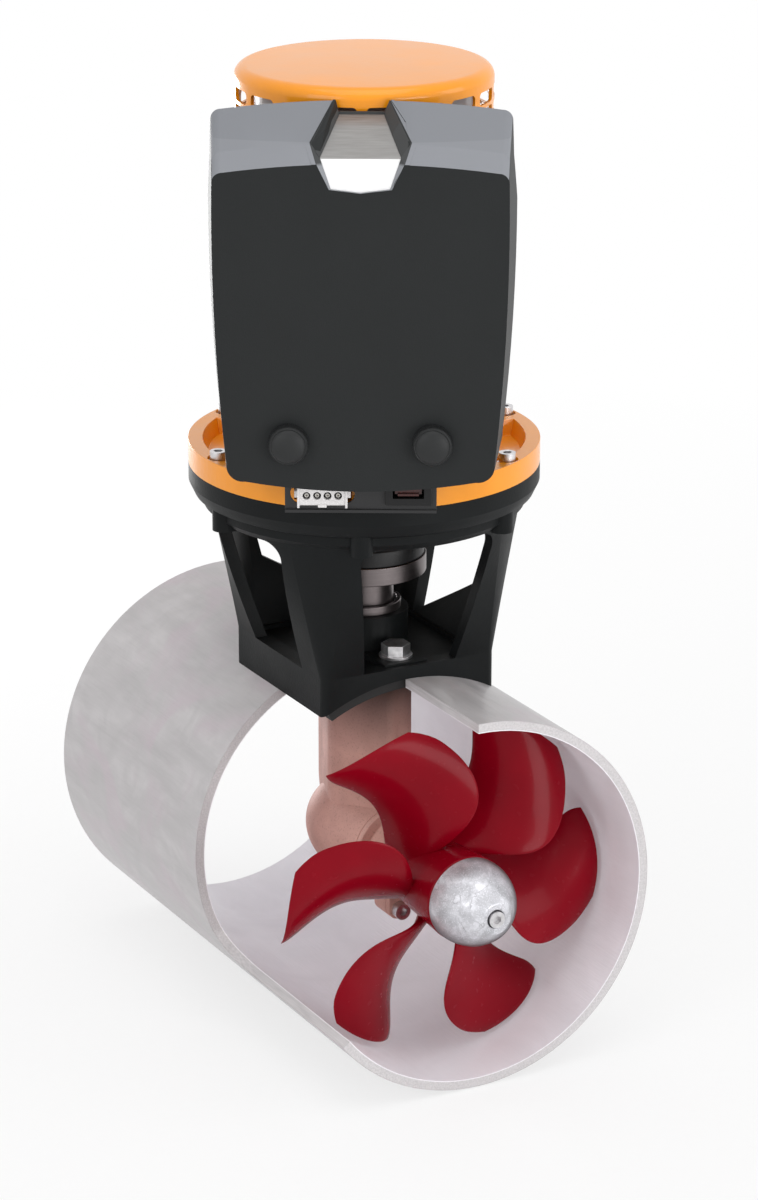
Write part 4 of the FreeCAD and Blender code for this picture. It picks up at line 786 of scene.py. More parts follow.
ORANGE = Paint("orange_paint", (0.90, 0.31, 0.004), 0.36, 0.25, peel=0.0022, patch=0.05, coat=0.55,
               coat_roughness=0.1)
CHARCOAL_PAINT = Paint("bracket_paint", (0.0062, 0.0072, 0.0076), 0.50, 0.13, peel=0.0013, peel_depth=0.00007,
                       patch=0.2, coat=0.0)
GREY_PAINT = Paint("motor_grey", (0.30, 0.31, 0.33), 0.4, coat=0.2)
PANEL_PAINT = Paint("panel_steel", (0.018, 0.018, 0.019), 0.4, 0.35, peel=0.0008, coat=0.1)
COVER_PLASTIC = CoverPlastic("cover_plastic", (0.0135, 0.0150, 0.0155), 0.55, 0.22)
NOTCH_PLASTIC = NotchPlastic("notch_plastic", (0.050, 0.052, 0.053), 0.5, 0.25)
KNOB = Moulded("knob_black", (0.016, 0.017, 0.0175), 0.5, 0.3, texture=0.0005)
BLACK_PLASTIC = Moulded("fuse_black", (0.006, 0.006, 0.0065), 0.4, 0.3)
WHITE_PLASTIC = Moulded("connector_white", (0.72, 0.70, 0.70), 0.35, texture=0.0012, texture_depth=0.00001)
INSULATOR = Moulded("insulator", (0.10, 0.085, 0.07), 0.55)
RELAY_PLASTIC = Moulded("relay_can", (0.035, 0.035, 0.04), 0.28, texture=0.0015)
FUSE_PLASTIC = Moulded("fuse_clear", (0.060, 0.012, 0.010), 0.25)
RED_PLASTIC = Moulded("propeller_red", (0.212, 0.0004, 0.0072), 0.26, 0.09, texture=0.004,
                      texture_depth=0.000012, patch=0.16, coat=0.05)
EMBLEM = Emblem("emblem", (0.93, 0.93, 0.93), 0.2)
# The bronze's upper leg gets a painted shadow, standing in for the shade of the bracket and tunnel.
BRONZE = Cast("bronze", (0.56, 0.31, 0.26), 0.6, 0.3, metallic=0.1, rubbed=(0.72, 0.41, 0.345),
              painted_shadow_above=0.072)
ZINC = Zinc("zinc", (0.60, 0.60, 0.635), 0.40)
TURNED_STEEL = Turned("machined_steel", (0.18, 0.157, 0.157), 0.36)
TURNED_STEEL_X = Turned("machined_steel_x", (0.34, 0.32, 0.32), 0.34, axis=Axis.TUNNEL)
PLATED_STEEL = Plated("fasteners", (0.66, 0.65, 0.66), 0.3)
COPPER = Plated("copper", (0.76, 0.36, 0.20), 0.3)
TINNED = Plated("contact_metal", (0.55, 0.53, 0.50), 0.3)
IRON = Cast("armature_iron", (0.20, 0.15, 0.11), 0.5, metallic=0.5, rubbed=(0.27, 0.20, 0.15))
FERRITE = Cast("magnet", (0.09, 0.09, 0.10), 0.6, metallic=0.1, rubbed=(0.13, 0.13, 0.14))
CARBON = Rubber("carbon", (0.05, 0.05, 0.05), 0.6)
BLACK_RUBBER = Rubber("rubber", (0.007, 0.007, 0.0075), 0.4, 0.35)
FILLER = Rubber("black_filler", (0.012, 0.012, 0.012), 0.7)
FIBREGLASS = Laminate("fibreglass", (0.495, 0.475, 0.482), 0.42)


# ---- mesh helpers -------------------------------------------------------------------------
def dressed(piece: bpy.types.Object, finish: Finish) -> bpy.types.Object:
    """Give a piece one finish in place of all it had.

    Args:
        piece: the object to dress.
        finish: its finish.

    Returns:
        The same object.
    """
    piece.data.materials.clear()
    piece.data.materials.append(finish.material())
    return piece


def smooth_by_angle(mesh: bpy.types.Mesh, degrees: float) -> None:
    """Smooth a mesh everywhere but at edges sharper than an angle."""
    mesh.polygons.foreach_set("use_smooth", np.ones(len(mesh.polygons), bool))
    mesh.set_sharp_from_angle(angle=math.radians(degrees))


def linked(name: str, mesh: bpy.types.Mesh) -> bpy.types.Object:
    """Put a mesh into the scene as an object at the origin.

    Args:
        name: the object's name.
        mesh: its mesh.

    Returns:
        The object.
    """
    piece = bpy.data.objects.new(name, mesh)
    bpy.context.scene.collection.objects.link(piece)
    return piece


def welded(mesh: bpy.types.Mesh, distance: float, solid: bool) -> None:
    """Join a mesh's points; a solid's flat triangles merge, and other faces are turned outwards.

    Args:
        mesh: the mesh.
        distance: how close points are joined, in metres.
        solid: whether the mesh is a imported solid's.
    """
    form = bmesh.new()
    form.from_mesh(mesh)
    bmesh.ops.remove_doubles(form, verts=form.verts, dist=distance)
    if solid:
        flat = math.radians(FLAT_DEGREES)
        bmesh.ops.dissolve_limit(form, angle_limit=flat, verts=form.verts, edges=form.edges)
    else:
        bmesh.ops.recalc_face_normals(form, faces=form.faces)
    form.to_mesh(mesh)
    form.free()


def rounded_edges(piece: bpy.types.Object, width: float, angle: float, segments: int = 2) -> None:
    """Round a piece's sharp edges with a modifier.

    Args:
        piece: the piece.
        width: radius in metres.
        angle: edges flatter than this many degrees stay as they are.
        segments: steps across a rounded edge.
    """
    bevel = piece.modifiers.new("rounded_edges", "BEVEL")
    bevel.width = width
    bevel.segments = segments
    bevel.limit_method = "ANGLE"
    bevel.angle_limit = math.radians(angle)
    bevel.harden_normals = True
    bevel.use_clamp_overlap = True


def settle(piece: bpy.types.Object, body: Body, slot: str, *nodes: str) -> None:
    """Tie a piece to its body and hide the solids it stands for.

    Args:
        piece: the finished piece.
        body: what it rides on.
        slot: the record's material slot, which is not used here.
        nodes: CAD nodes that it replaces.
    """
    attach(piece, body.value)
    if nodes:
        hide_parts(*nodes)
    LOG.info("%s rides on %s, %d faces", piece.name, body.value, len(piece.data.polygons))


def filleted(corners: Sequence[Sequence[float]], radii: object, steps: int = 6, closed: bool = True) -> np.ndarray:
    """Round a polygon's corners.

    Each corner C is left at A and met again at B, a radius before and after it, by the curve
    (1-t)^2 A + 2t(1-t) C + t^2 B for t from 0 to 1.

    Args:
        corners: the corners in order.
        radii: one radius, or one for each corner.
        steps: points on each rounded corner.
        closed: whether the last corner joins the first; otherwise the two ends stay sharp.

    Returns:
        The points of the rounded outline.
    """
    corner = np.asarray(corners, float)
    radius = np.broadcast_to(np.asarray(radii, float), len(corner)).copy()
    if not closed:
        radius[[0, -1]] = 0.0
    back, on = np.roll(corner, 1, 0) - corner, np.roll(corner, -1, 0) - corner
    lengths = np.stack([np.linalg.norm(back, axis=1), np.linalg.norm(on, axis=1)])
    cut = np.minimum(radius, 0.45 * lengths.min(axis=0))
    first = corner + back * (cut / lengths[0])[:, None]
    last = corner + on * (cut / lengths[1])[:, None]
    t = np.linspace(0.0, 1.0, steps)[None, :, None]
    curve = (1 - t) ** 2 * first[:, None] + 2 * t * (1 - t) * corner[:, None] + t ** 2 * last[:, None]
    return curve.reshape(-1, corner.shape[1])


def through(first: Sequence[float], middle: Sequence[float], last: Sequence[float], steps: int) -> np.ndarray:
    """Points of a parabola.

    Args:
        first: where t = 0.
        middle: where t = 1/2.
        last: where t = 1.
        steps: how many points.

    Returns:
        The points by t from 0 to 1.
    """
    a, b, c = (np.asarray(point, float) for point in (first, middle, last))
    t = np.linspace(0.0, 1.0, steps)[:, None]
    return a * (1 - t) * (1 - 2 * t) + b * 4 * t * (1 - t) + c * t * (2 * t - 1)


def facing(sideways: object, forward: object, height: object) -> np.ndarray:
    """Points from distances in the control cover's own directions.

    Args:
        sideways: along SIDEWAYS, in metres, one number or an array.
        forward: along FORWARD.
        height: along UP.

    Returns:
        The points, with coordinates last.
    """
    parts = [np.asarray(value, float)[..., None] * axis
             for value, axis in ((sideways, SIDEWAYS), (forward, FORWARD), (height, UP))]
    return parts[0] + parts[1] + parts[2]


class Surface:
    """Gathers grids, strips and bars and makes one closed mesh of them."""

    def __init__(self, name: str) -> None:
        """Start with no points.

        Args:
            name: the name of the mesh and of the piece.
        """
        self.name = name
        self.points: list[np.ndarray] = []
        self.faces: list[list[int]] = []

    def keep(self, points: np.ndarray) -> int:
        """Add points.

        Args:
            points: array with three coordinates last.

        Returns:
            The number of the first.
        """
        start = sum(len(block) for block in self.points)
        self.points.append(points.reshape(-1, 3))
        return start

    def grid(self, points: np.ndarray, wrap_rows: bool = False) -> int:
        """Add a sheet of quads between neighbouring rows of points, each of which is closed.

        Args:
            points: array of rows, columns and three coordinates.
            wrap_rows: whether the last row joins the first.

        Returns:
            The number of the first point.
        """
        rows, columns = points.shape[:2]
        start = self.keep(points)
        row = np.arange(rows if wrap_rows else rows - 1)[:, None]
        column = np.arange(columns)[None, :]
        below, right = (row + 1) % rows, (column + 1) % columns
        corners = [one * columns + other for one, other in
                   ((row, column), (row, right), (below, right), (below, column))]
        self.faces += (np.stack(corners, axis=-1).reshape(-1, 4) + start).tolist()
        return start

    def strip(self, sections: np.ndarray) -> None:
        """Add a solid through closed cross-sections, with a flat face over each end.

        Args:
            sections: array of sections, points round each and three coordinates.
        """
        rows, columns = sections.shape[:2]
        end = np.arange(columns) + self.grid(sections)
        self.faces += [end[::-1].tolist(), (end + (rows - 1) * columns).tolist()]

    def lathe(self, profile: np.ndarray, centre: np.ndarray, axes: Sequence[np.ndarray], segments: int,
              ripple: np.ndarray | float = 0.0, ring: bool = True) -> None:
        """Turn a profile of (radius, place along the axis) about an axis.

        A point is centre + (radius + ripple) (axes[0] cos a + axes[1] sin a) + place * axes[2].

        Args:
            profile: rows of radius and place.
            centre: a point on the axis.
            axes: unit vectors across the axis where the angle a is zero, across both, and along it.
            segments: points round the axis.
            ripple: what is added to the radius, for all of it or for each row and angle.
            ring: whether the profile is closed.
        """
        angle = np.linspace(0.0, 2 * math.pi, segments, endpoint=False)
        radius = np.maximum(profile[:, 0][:, None] + np.zeros(segments)[None, :] + ripple, 0.0)
        across = np.cos(angle)[None, :, None] * axes[0] + np.sin(angle)[None, :, None] * axes[1]
        self.grid(centre + radius[..., None] * across + profile[:, 1][:, None, None] * axes[2], wrap_rows=ring)

    def bar(self, side: float, half: float, back: float, front: float, low: float, high: float,
            corner: float = 0.3 * MM) -> None:
        """Add a bar with round corners that points forwards from the control cover's side.

        Args:
            side: its middle sideways.
            half: half its width.
            back: where it starts.
            front: where it ends.
            low: its foot.
            high: its top.
            corner: radius of its corners, or 0 for sharp ones.
        """
        outline = np.array([(side - half, low), (side + half, low), (side + half, high), (side - half, high)])
        if corner:
            outline = filleted(outline, corner, 4)
        self.strip(np.stack([facing(outline[:, 0], place, outline[:, 1]) for place in (back, front)]))

    def piece(self, body: Body, finish: Finish, nodes: Sequence[str] = (), angle: float = 35.0,
              bevel: float = 0.0) -> None:
        """Weld the points, turn the faces outwards and settle the piece.

        Args:
            body: what the piece rides on.
            finish: its finish.
            nodes: CAD nodes that it replaces.
            angle: edges sharper than this many degrees stay sharp.
            bevel: radius of rounded edges in metres, or 0 for none.
        """
        mesh = bpy.data.meshes.new(self.name)
        mesh.from_pydata(np.concatenate(self.points).tolist(), [], self.faces)
        welded(mesh, SURFACE_WELD, solid=False)
        smooth_by_angle(mesh, angle)
        made = dressed(linked(self.name, mesh), finish)
        if bevel:
            rounded_edges(made, bevel, angle)
        settle(made, body, finish.slot, *nodes)


# ---- sub-assemblies -----------------------------------------------------------------------
@dataclass(frozen=True)
class Rounded:
    """A solid whose edges are rounded as a casting's or a pressing's are.

    Attributes:
        node: the CAD node it stands for.
        name: the new piece's name.
        finish: its finish.
        width: radius of the rounded edges in millimetres.
        body: what the piece rides on.
        segments: steps across a rounded edge.
        angle: edges flatter than this many degrees stay as they are.
    """

    node: str
    name: str
    finish: Finish
    width: float
    body: Body = Body.HOUSING
    segments: int = 2
    angle: float = 32.0

    def build(self) -> None:
        """Copy the solid's mesh, weld it, round its edges and settle the new piece."""
        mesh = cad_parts[self.node].data.copy()
        mesh.name = self.name
        welded(mesh, SOLID_WELD, solid=True)
        smooth_by_angle(mesh, self.angle)
        piece = dressed(linked(self.name, mesh), self.finish)
        rounded_edges(piece, self.width * MM, self.angle, self.segments)
        settle(piece, self.body, self.finish.slot, self.node)


@dataclass
class SubAssembly:
    """Pieces that belong together: solids shown as they are, and solids with rounded edges."""

    carried: dict[str, Finish] = field(default_factory=dict)
    rounded: tuple[Rounded, ...] = ()

    def build(self) -> None:
        """Dress the solids that stay and round the others."""
        for node, finish in self.carried.items():
            dressed(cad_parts[node], finish)
            LOG.info("%s keeps its solid, finished as %s", node, finish.name)
        for solid in self.rounded:
            solid.build()


@dataclass
class Tunnel(SubAssembly):
    """Cut-away glass-fibre tube with its filler and gasket."""

    carried: dict[str, Finish] = field(default_factory=lambda: {
        "tail_gasket": BLACK_RUBBER, "saddle_shim": FILLER})
    rounded: tuple[Rounded, ...] = (Rounded("tunnel", "tunnel_tube", FIBREGLASS, 0.5, angle=50.0),)


@dataclass
class Tail(SubAssembly):
    """Bronze leg and gearcase with shafts, gears, bearings and cap."""

    carried: dict[str, Finish] = field(default_factory=lambda: {
        "gearcase_cap_screw": PLATED_STEEL, "prop_seal": BLACK_RUBBER, "pinion": TURNED_STEEL,
        "crown_gear": TURNED_STEEL_X, "pinion_bearing": TURNED_STEEL, "drive_shaft_bearing": TURNED_STEEL,
        "prop_front_bearing": TURNED_STEEL_X, "prop_rear_bearing": TURNED_STEEL_X, "drive_shaft": TURNED_STEEL,
        "prop_shaft": TURNED_STEEL_X})
    rounded: tuple[Rounded, ...] = (
        Rounded("tail_leg", "tail_casting", BRONZE, 1.0),
        Rounded("gearcase_cap", "gearcase_front", BRONZE, 0.7))


@dataclass
class Propeller(SubAssembly):
    """Six swept, cupped blades on a conical hub with a zinc spinner."""

    blades: int = 6
    phase: float = -2.0
    shaft_radius: float = 8.05 * MM
    hub_back: float = 51.0 * MM
    hub_back_radius: float = 19.0 * MM
    hub_front: float = 110.0 * MM
    hub_front_radius: float = 22.6 * MM
    root_radius: float = 22.0 * MM
    root_zone: float = 6.0 * MM
    root_sunk: float = 3.0 * MM
    tip_radius: float = 89.0 * MM
    tip_round: float = 3.0 * MM
    tip_zone: float = 9.0 * MM
    tip_shift: float = 0.05
    tip_narrowing: float = 0.12
    thickness: float = 4.2 * MM
    thinning: float = 0.55
    flare: float = 1.5
    flare_height: float = 3.2 * MM
    fullness: float = 0.75
    camber: float = 0.09
    lean: float = 0.7
    trailing_angle: tuple[float, ...] = (34.2, -123.8, 192.1, -86.3)
    trailing_place: tuple[float, ...] = (61.3, 37.1, -43.7, 17.6)
    leading_angle: tuple[float, ...] = (-17.7, -113.2, 179.3, -64.8)
    leading_place: tuple[float, ...] = (91.6, 73.7, -125.4, 48.9)
    spinner_front: float = 139.0 * MM
    spinner_tip: float = 8.5 * MM
    spinner_middle: float = 0.86
    spinner_segments: int = 128
    screw_radius: float = 2.55 * MM
    sink_radius: float = 4.6 * MM
    sink_depth: float = 4.0 * MM
    dent: float = 0.12 * MM
    carried: dict[str, Finish] = field(default_factory=lambda: {"anode_screw": PLATED_STEEL})

    def build(self) -> None:
        """Make the blades with their hub, and the spinner."""
        super().build()
        wheel = Surface("propeller_blades")
        ring = filleted([(self.shaft_radius, self.hub_back), (self.hub_back_radius, self.hub_back),
                         (self.hub_front_radius, self.hub_front), (self.shaft_radius, self.hub_front)],
                        np.array([0.1, 1.2, 1.2, 0.1]) * MM)
        wheel.lathe(ring, np.zeros(3), TUNNEL_AXES, 96)
        for blade in range(self.blades):
            wheel.grid(self.blade(self.phase + 360.0 / self.blades * blade))
        wheel.piece(Body.PROPELLER, RED_PLASTIC, ["propeller"], angle=45.0)
        self.spinner()

    def blade(self, turn: float) -> np.ndarray:
        """Points of one blade by radius and round its section.

        The trailing and leading edges are cubics in the share s of the way from root to tip. Round
        the section, c = (1 - cos a) / 2 goes from the trailing to the leading edge and back; the
        middle line bows by camber * radius * 4c(1-c) and the faces stand off it by half the
        thickness times sin a to the power fullness. The thickness thins to the tip and flares
        into the hub.

        Args:
            turn: the blade's angle about the tunnel's axis, in degrees from +Y.

        Returns:
            Points by station and by place round the section; first and last station close to a line.
        """
        inner, outer = self.root_radius + self.root_zone, self.tip_radius - self.tip_round
        quarter = np.linspace(0, math.pi / 2, 10)
        radius = np.concatenate([np.linspace(self.hub_back_radius - self.root_sunk, inner, 16)[:-1],
                                 np.linspace(inner, outer, 30)[:-1],
                                 self.tip_radius - self.tip_round * (1 - np.sin(quarter))])[:, None]
        s = (radius - self.root_radius) / (self.tip_radius - self.root_radius)
        angle = np.linspace(0.0, 2 * math.pi, 56, endpoint=False)[None, :]
        edge = [sum(factor * s ** power for power, factor in enumerate(row))
                for row in (self.trailing_angle, self.leading_angle, self.trailing_place, self.leading_place)]
        past = np.clip((radius - self.tip_radius + self.tip_zone) / self.tip_zone, 0, 1) ** 2
        share = self.tip_shift * past + (1 - np.cos(angle)) / 2 * (1 - self.tip_narrowing * past)
        degrees = edge[0] + (edge[1] - edge[0]) * share + turn
        place = (edge[2] + (edge[3] - edge[2]) * share) * MM
        flare = self.flare * np.exp(-np.clip(radius - self.hub_back_radius, 0, None) / self.flare_height)
        closing = np.sqrt(np.clip((self.tip_radius - radius) / self.tip_round, 0, 1))
        thick = self.thickness * (1 - self.thinning * np.clip(s, 0, 1)) * closing * (1 + flare)
        bow = self.camber * radius * 4 * share * (1 - share)
        swell = np.sign(np.sin(angle)) * np.abs(np.sin(angle)) ** self.fullness * thick / 2
        off = self.lean * (bow + swell)
        theta = np.radians(degrees) + off / radius
        points = np.stack([place + off, radius * np.cos(theta), radius * np.sin(theta)], axis=-1)
        points[0] = points[0].mean(axis=0)
        return points

    def spinner(self) -> None:
        """Blunt zinc cone: a parabola from the hub's rim to the tip, with a sunk place for its screw."""
        back, wide, front, tip = self.hub_front, self.hub_front_radius, self.spinner_front, self.spinner_tip
        middle, sunk = (back + front) / 2 + 1.0 * MM, front - self.sink_depth
        side = through((wide - 0.3 * MM, back + 0.7 * MM), (wide * self.spinner_middle, middle), (tip, front), 22)
        nose = filleted([(tip + 0.9 * MM, front - 1.1 * MM), (tip - 0.4 * MM, front),
                         (self.sink_radius + 0.5 * MM, front), (self.sink_radius, front - 0.6 * MM),
                         (self.sink_radius, sunk), (self.screw_radius, sunk)], 0.6 * MM, closed=False)
        ring = np.concatenate([[(self.screw_radius, back), (wide - 1.0 * MM, back)], side[:-2], nose])
        cone = Surface("spinner")
        cone.lathe(ring, np.zeros(3), TUNNEL_AXES, self.spinner_segments, self.dents(ring))
        cone.piece(Body.PROPELLER, ZINC, ["anode"])

    def dents(self, ring: np.ndarray) -> np.ndarray:
        """Shallow hollows of a hand-finished casting: a product of slow waves along and round it.

        Args:
            ring: the spinner's profile of radius and place.

        Returns:
            What is added to the radius, by profile row and angle.
        """
        angle = np.linspace(0.0, 2 * math.pi, self.spinner_segments, endpoint=False)[None, :]
        along = (ring[:, 1][:, None] - self.hub_front) / (self.spinner_front - self.hub_front)
        waves = np.sin(3 * angle + 5 * along) * np.sin(7 * along + 2 * angle) - 1.0
        outside = np.where(ring[:, 0][:, None] > self.spinner_tip, 1.0, 0.0)
        return self.dent * waves * outside * np.sin(math.pi * np.clip(along, 0, 1))


@dataclass
class Bracket(SubAssembly):
    """Cast bracket, its bolts and the coupling inside it."""

    carried: dict[str, Finish] = field(default_factory=lambda: {"lip_seal": BLACK_RUBBER})
    rounded: tuple[Rounded, ...] = (
        Rounded("bracket", "bracket_casting", CHARCOAL_PAINT, 1.0),
        Rounded("base_bolts", "base_bolt_heads", PLATED_STEEL, 0.4),
        Rounded("seal_ring", "seal_retainer", TURNED_STEEL, 0.4),
        Rounded("lower_coupling", "coupling_lower_half", TURNED_STEEL, 0.5, Body.DRIVE),
        Rounded("upper_coupling", "coupling_upper_half", TURNED_STEEL, 0.5, Body.DRIVE),
        Rounded("coupling_rubber", "coupling_element", BLACK_RUBBER, 0.5, Body.DRIVE))


@dataclass
class Motor(SubAssembly):
    """Orange flange and cap round the motor's housing, armature and brush gear."""

    carried: dict[str, Finish] = field(default_factory=lambda: {
        "field_magnets": FERRITE, "armature": IRON, "commutator": COPPER, "motor_shaft": TURNED_STEEL,
        "motor_lower_bearing": TURNED_STEEL, "motor_upper_bearing": TURNED_STEEL, "brush_gear": INSULATOR,
        "brushes": CARBON, "cap_ledge": GREY_PAINT, "motor_housing": GREY_PAINT, "flange_washers": PLATED_STEEL})
    rounded: tuple[Rounded, ...] = (
        Rounded("motor_flange", "flange_casting", ORANGE, 0.8, segments=3),
        Rounded("flange_screws", "flange_socket_screws", PLATED_STEEL, 0.35),
        Rounded("motor_cap", "slotted_cap", ORANGE, 0.3),
        Rounded("end_bell", "end_shield", GREY_PAINT, 0.6))


@dataclass
class Cover(SubAssembly):
    """Control cover with its bare two-facet plate and two knurled thumb nuts."""

    knob_radius: float = 9.7 * MM
    knob_side: float = 34.5 * MM
    knob_height: float = 238.5 * MM
    knob_back: float = 101.3 * MM
    knob_rim: float = 107.3 * MM
    knob_front: float = 110.1 * MM
    stem_radius: float = 4.5 * MM
    stem_back: float = 89.0 * MM
    bore_radius: float = 3.05 * MM
    bore_past: float = 1.7 * MM
    bulge: float = 0.6
    teeth: int = 84
    tooth: float = 0.28 * MM
    notch_outside: tuple[Place, ...] = (
        (15.4, 66.1, 397.8), (20.8, 80.0, 390.32), (25.7, 92.7, 383.53), (26.2, 94.0, 382.88),
        (23.2, 101.0, 374.62), (15.4, 101.0, 362.3), (0.0, 101.0, 360.3))
    notch_rim: tuple[Place, ...] = (
        (13.2, 66.1, 398.0), (18.4, 80.0, 390.5), (23.15, 92.7, 383.7), (23.65, 94.0, 383.05),
        (20.7, 101.1, 374.7), (14.8, 101.1, 362.6), (0.0, 101.1, 360.8))
    notch_foot: tuple[Place, ...] = (
        (10.6, 67.0, 391.9), (14.6, 82.4, 385.1), (18.95, 98.0, 378.1), (19.05, 98.7, 377.6),
        (18.95, 98.9, 376.9), (14.0, 99.9, 362.7), (0.0, 99.9, 360.9))
    notch_depth: float = 0.5 * MM
    notch_wall: float = 0.8 * MM
    notch_spread: float = 0.25
    notch_bar: tuple[float, float] = (66.2 * MM, 67.2 * MM)
    rounded: tuple[Rounded, ...] = (
        Rounded("cover", "cover_shell", COVER_PLASTIC, 0.5, Body.COVER, angle=24.0),
        Rounded("emblem_plate", "two_facet_plate", EMBLEM, 0.25, Body.COVER, angle=20.0))

    def build(self) -> None:
        """Round the cover's edges and the plate's, frame the notch and turn the nuts."""
        super().build()
        self.notch()
        self.knob("left_knob", -1.0, Body.LEFT_NUT, "thumb_nut_left")
        self.knob("right_knob", 1.0, Body.RIGHT_NUT, "thumb_nut_right")

    def notch(self) -> None:
        """Frame the plate's notch: a flush border on the cover, flared walls and a bar over the plate.

        Each ring of stations goes from the lid's back edge to the lowest point. A station is a
        half-width, a distance forwards and a height in millimetres; the other side is the mirror
        image. The border runs from the rim to a little outside it, and the walls run from the rim
        down to the plate. Both have a back face notch_depth deeper.
        """
        rings = []
        for ring in (self.notch_outside, self.notch_rim, self.notch_foot):
            whole = np.concatenate([np.array(ring) * [-1.0, 1.0, 1.0], np.array(ring)[-2::-1]]) * MM
            rings.append(facing(whole[:, 0], whole[:, 1], whole[:, 2]))
        outside, rim, foot = rings
        deeper = (-0.6 * FORWARD - 0.8 * UP) * self.notch_depth
        border = Surface("notch_border")
        border.strip(np.stack([rim, outside, outside + deeper, rim + deeper], axis=1))
        border.piece(Body.COVER, COVER_PLASTIC, angle=24.0)
        outward = (rim - foot) / np.linalg.norm(rim - foot, axis=1)[:, None]
        back = rim - outward * self.notch_wall + (outside - rim) * self.notch_spread
        walls = Surface("notch_walls")
        walls.strip(np.stack([rim, foot, foot + deeper, back], axis=1))
        half, _, height = self.notch_foot[0]
        walls.bar(0.0, half * MM, *self.notch_bar, (height - 0.5) * MM, (height + 0.9) * MM, corner=0.0)
        walls.piece(Body.COVER, NOTCH_PLASTIC, angle=12.0)

    def knob(self, name: str, side: float, body: Body, node: str) -> None:
        """Lathe a domed thumb nut whose rim has fine teeth.

        The profile runs from the blind bore over stem, rim and chamfer to a flat dome, whose place
        rises by (r (2-r)) to the power bulge for r from 0 at its edge to 1 at the axis. The teeth
        are a ripple of |sin| round the rim that fades off the chamfer.

        Args:
            name: the piece's name.
            side: -1 for the left nut, 1 for the right.
            body: what it rides on.
            node: the solid it stands for.
        """
        radius, back, rim, end = self.knob_radius, self.knob_back, self.knob_rim, self.knob_back + self.bore_past
        corners = [(0.0, end), (self.bore_radius, end), (self.bore_radius, self.stem_back),
                   (self.stem_radius, self.stem_back), (self.stem_radius, back), (radius, back),
                   (radius, rim - 0.5 * MM), (radius - 1.1 * MM, rim + 0.6 * MM)]
        rounding = np.array([0, 0, 0.1, 0.4, 0.2, 0.5, 0.5, 0.2]) * MM
        rise = np.linspace(0.0, 1.0, 16)[:, None]
        low = rim + 0.45 * MM
        bulging = low + (self.knob_front - low) * rise ** self.bulge * (2 - rise) ** self.bulge
        dome = np.concatenate([(radius - 1.5 * MM) * (1 - rise), np.minimum(bulging, self.knob_front)], axis=1)
        profile = np.concatenate([filleted(corners, rounding, steps=4, closed=False), dome])
        segments = self.teeth * 4
        angle = np.linspace(0.0, 2 * math.pi, segments, endpoint=False)[None, :]
        toothed = np.clip((profile[:, 0][:, None] - radius + 1.0 * MM) / (0.6 * MM), 0, 1)
        ripple = -self.tooth * np.abs(np.sin(angle * self.teeth / 2)) * toothed
        nut = Surface(name)
        nut.lathe(profile, facing(side * self.knob_side, 0.0, self.knob_height), COVER_AXES, segments, ripple,
                  ring=False)
        nut.piece(body, KNOB, [node], angle=50.0)


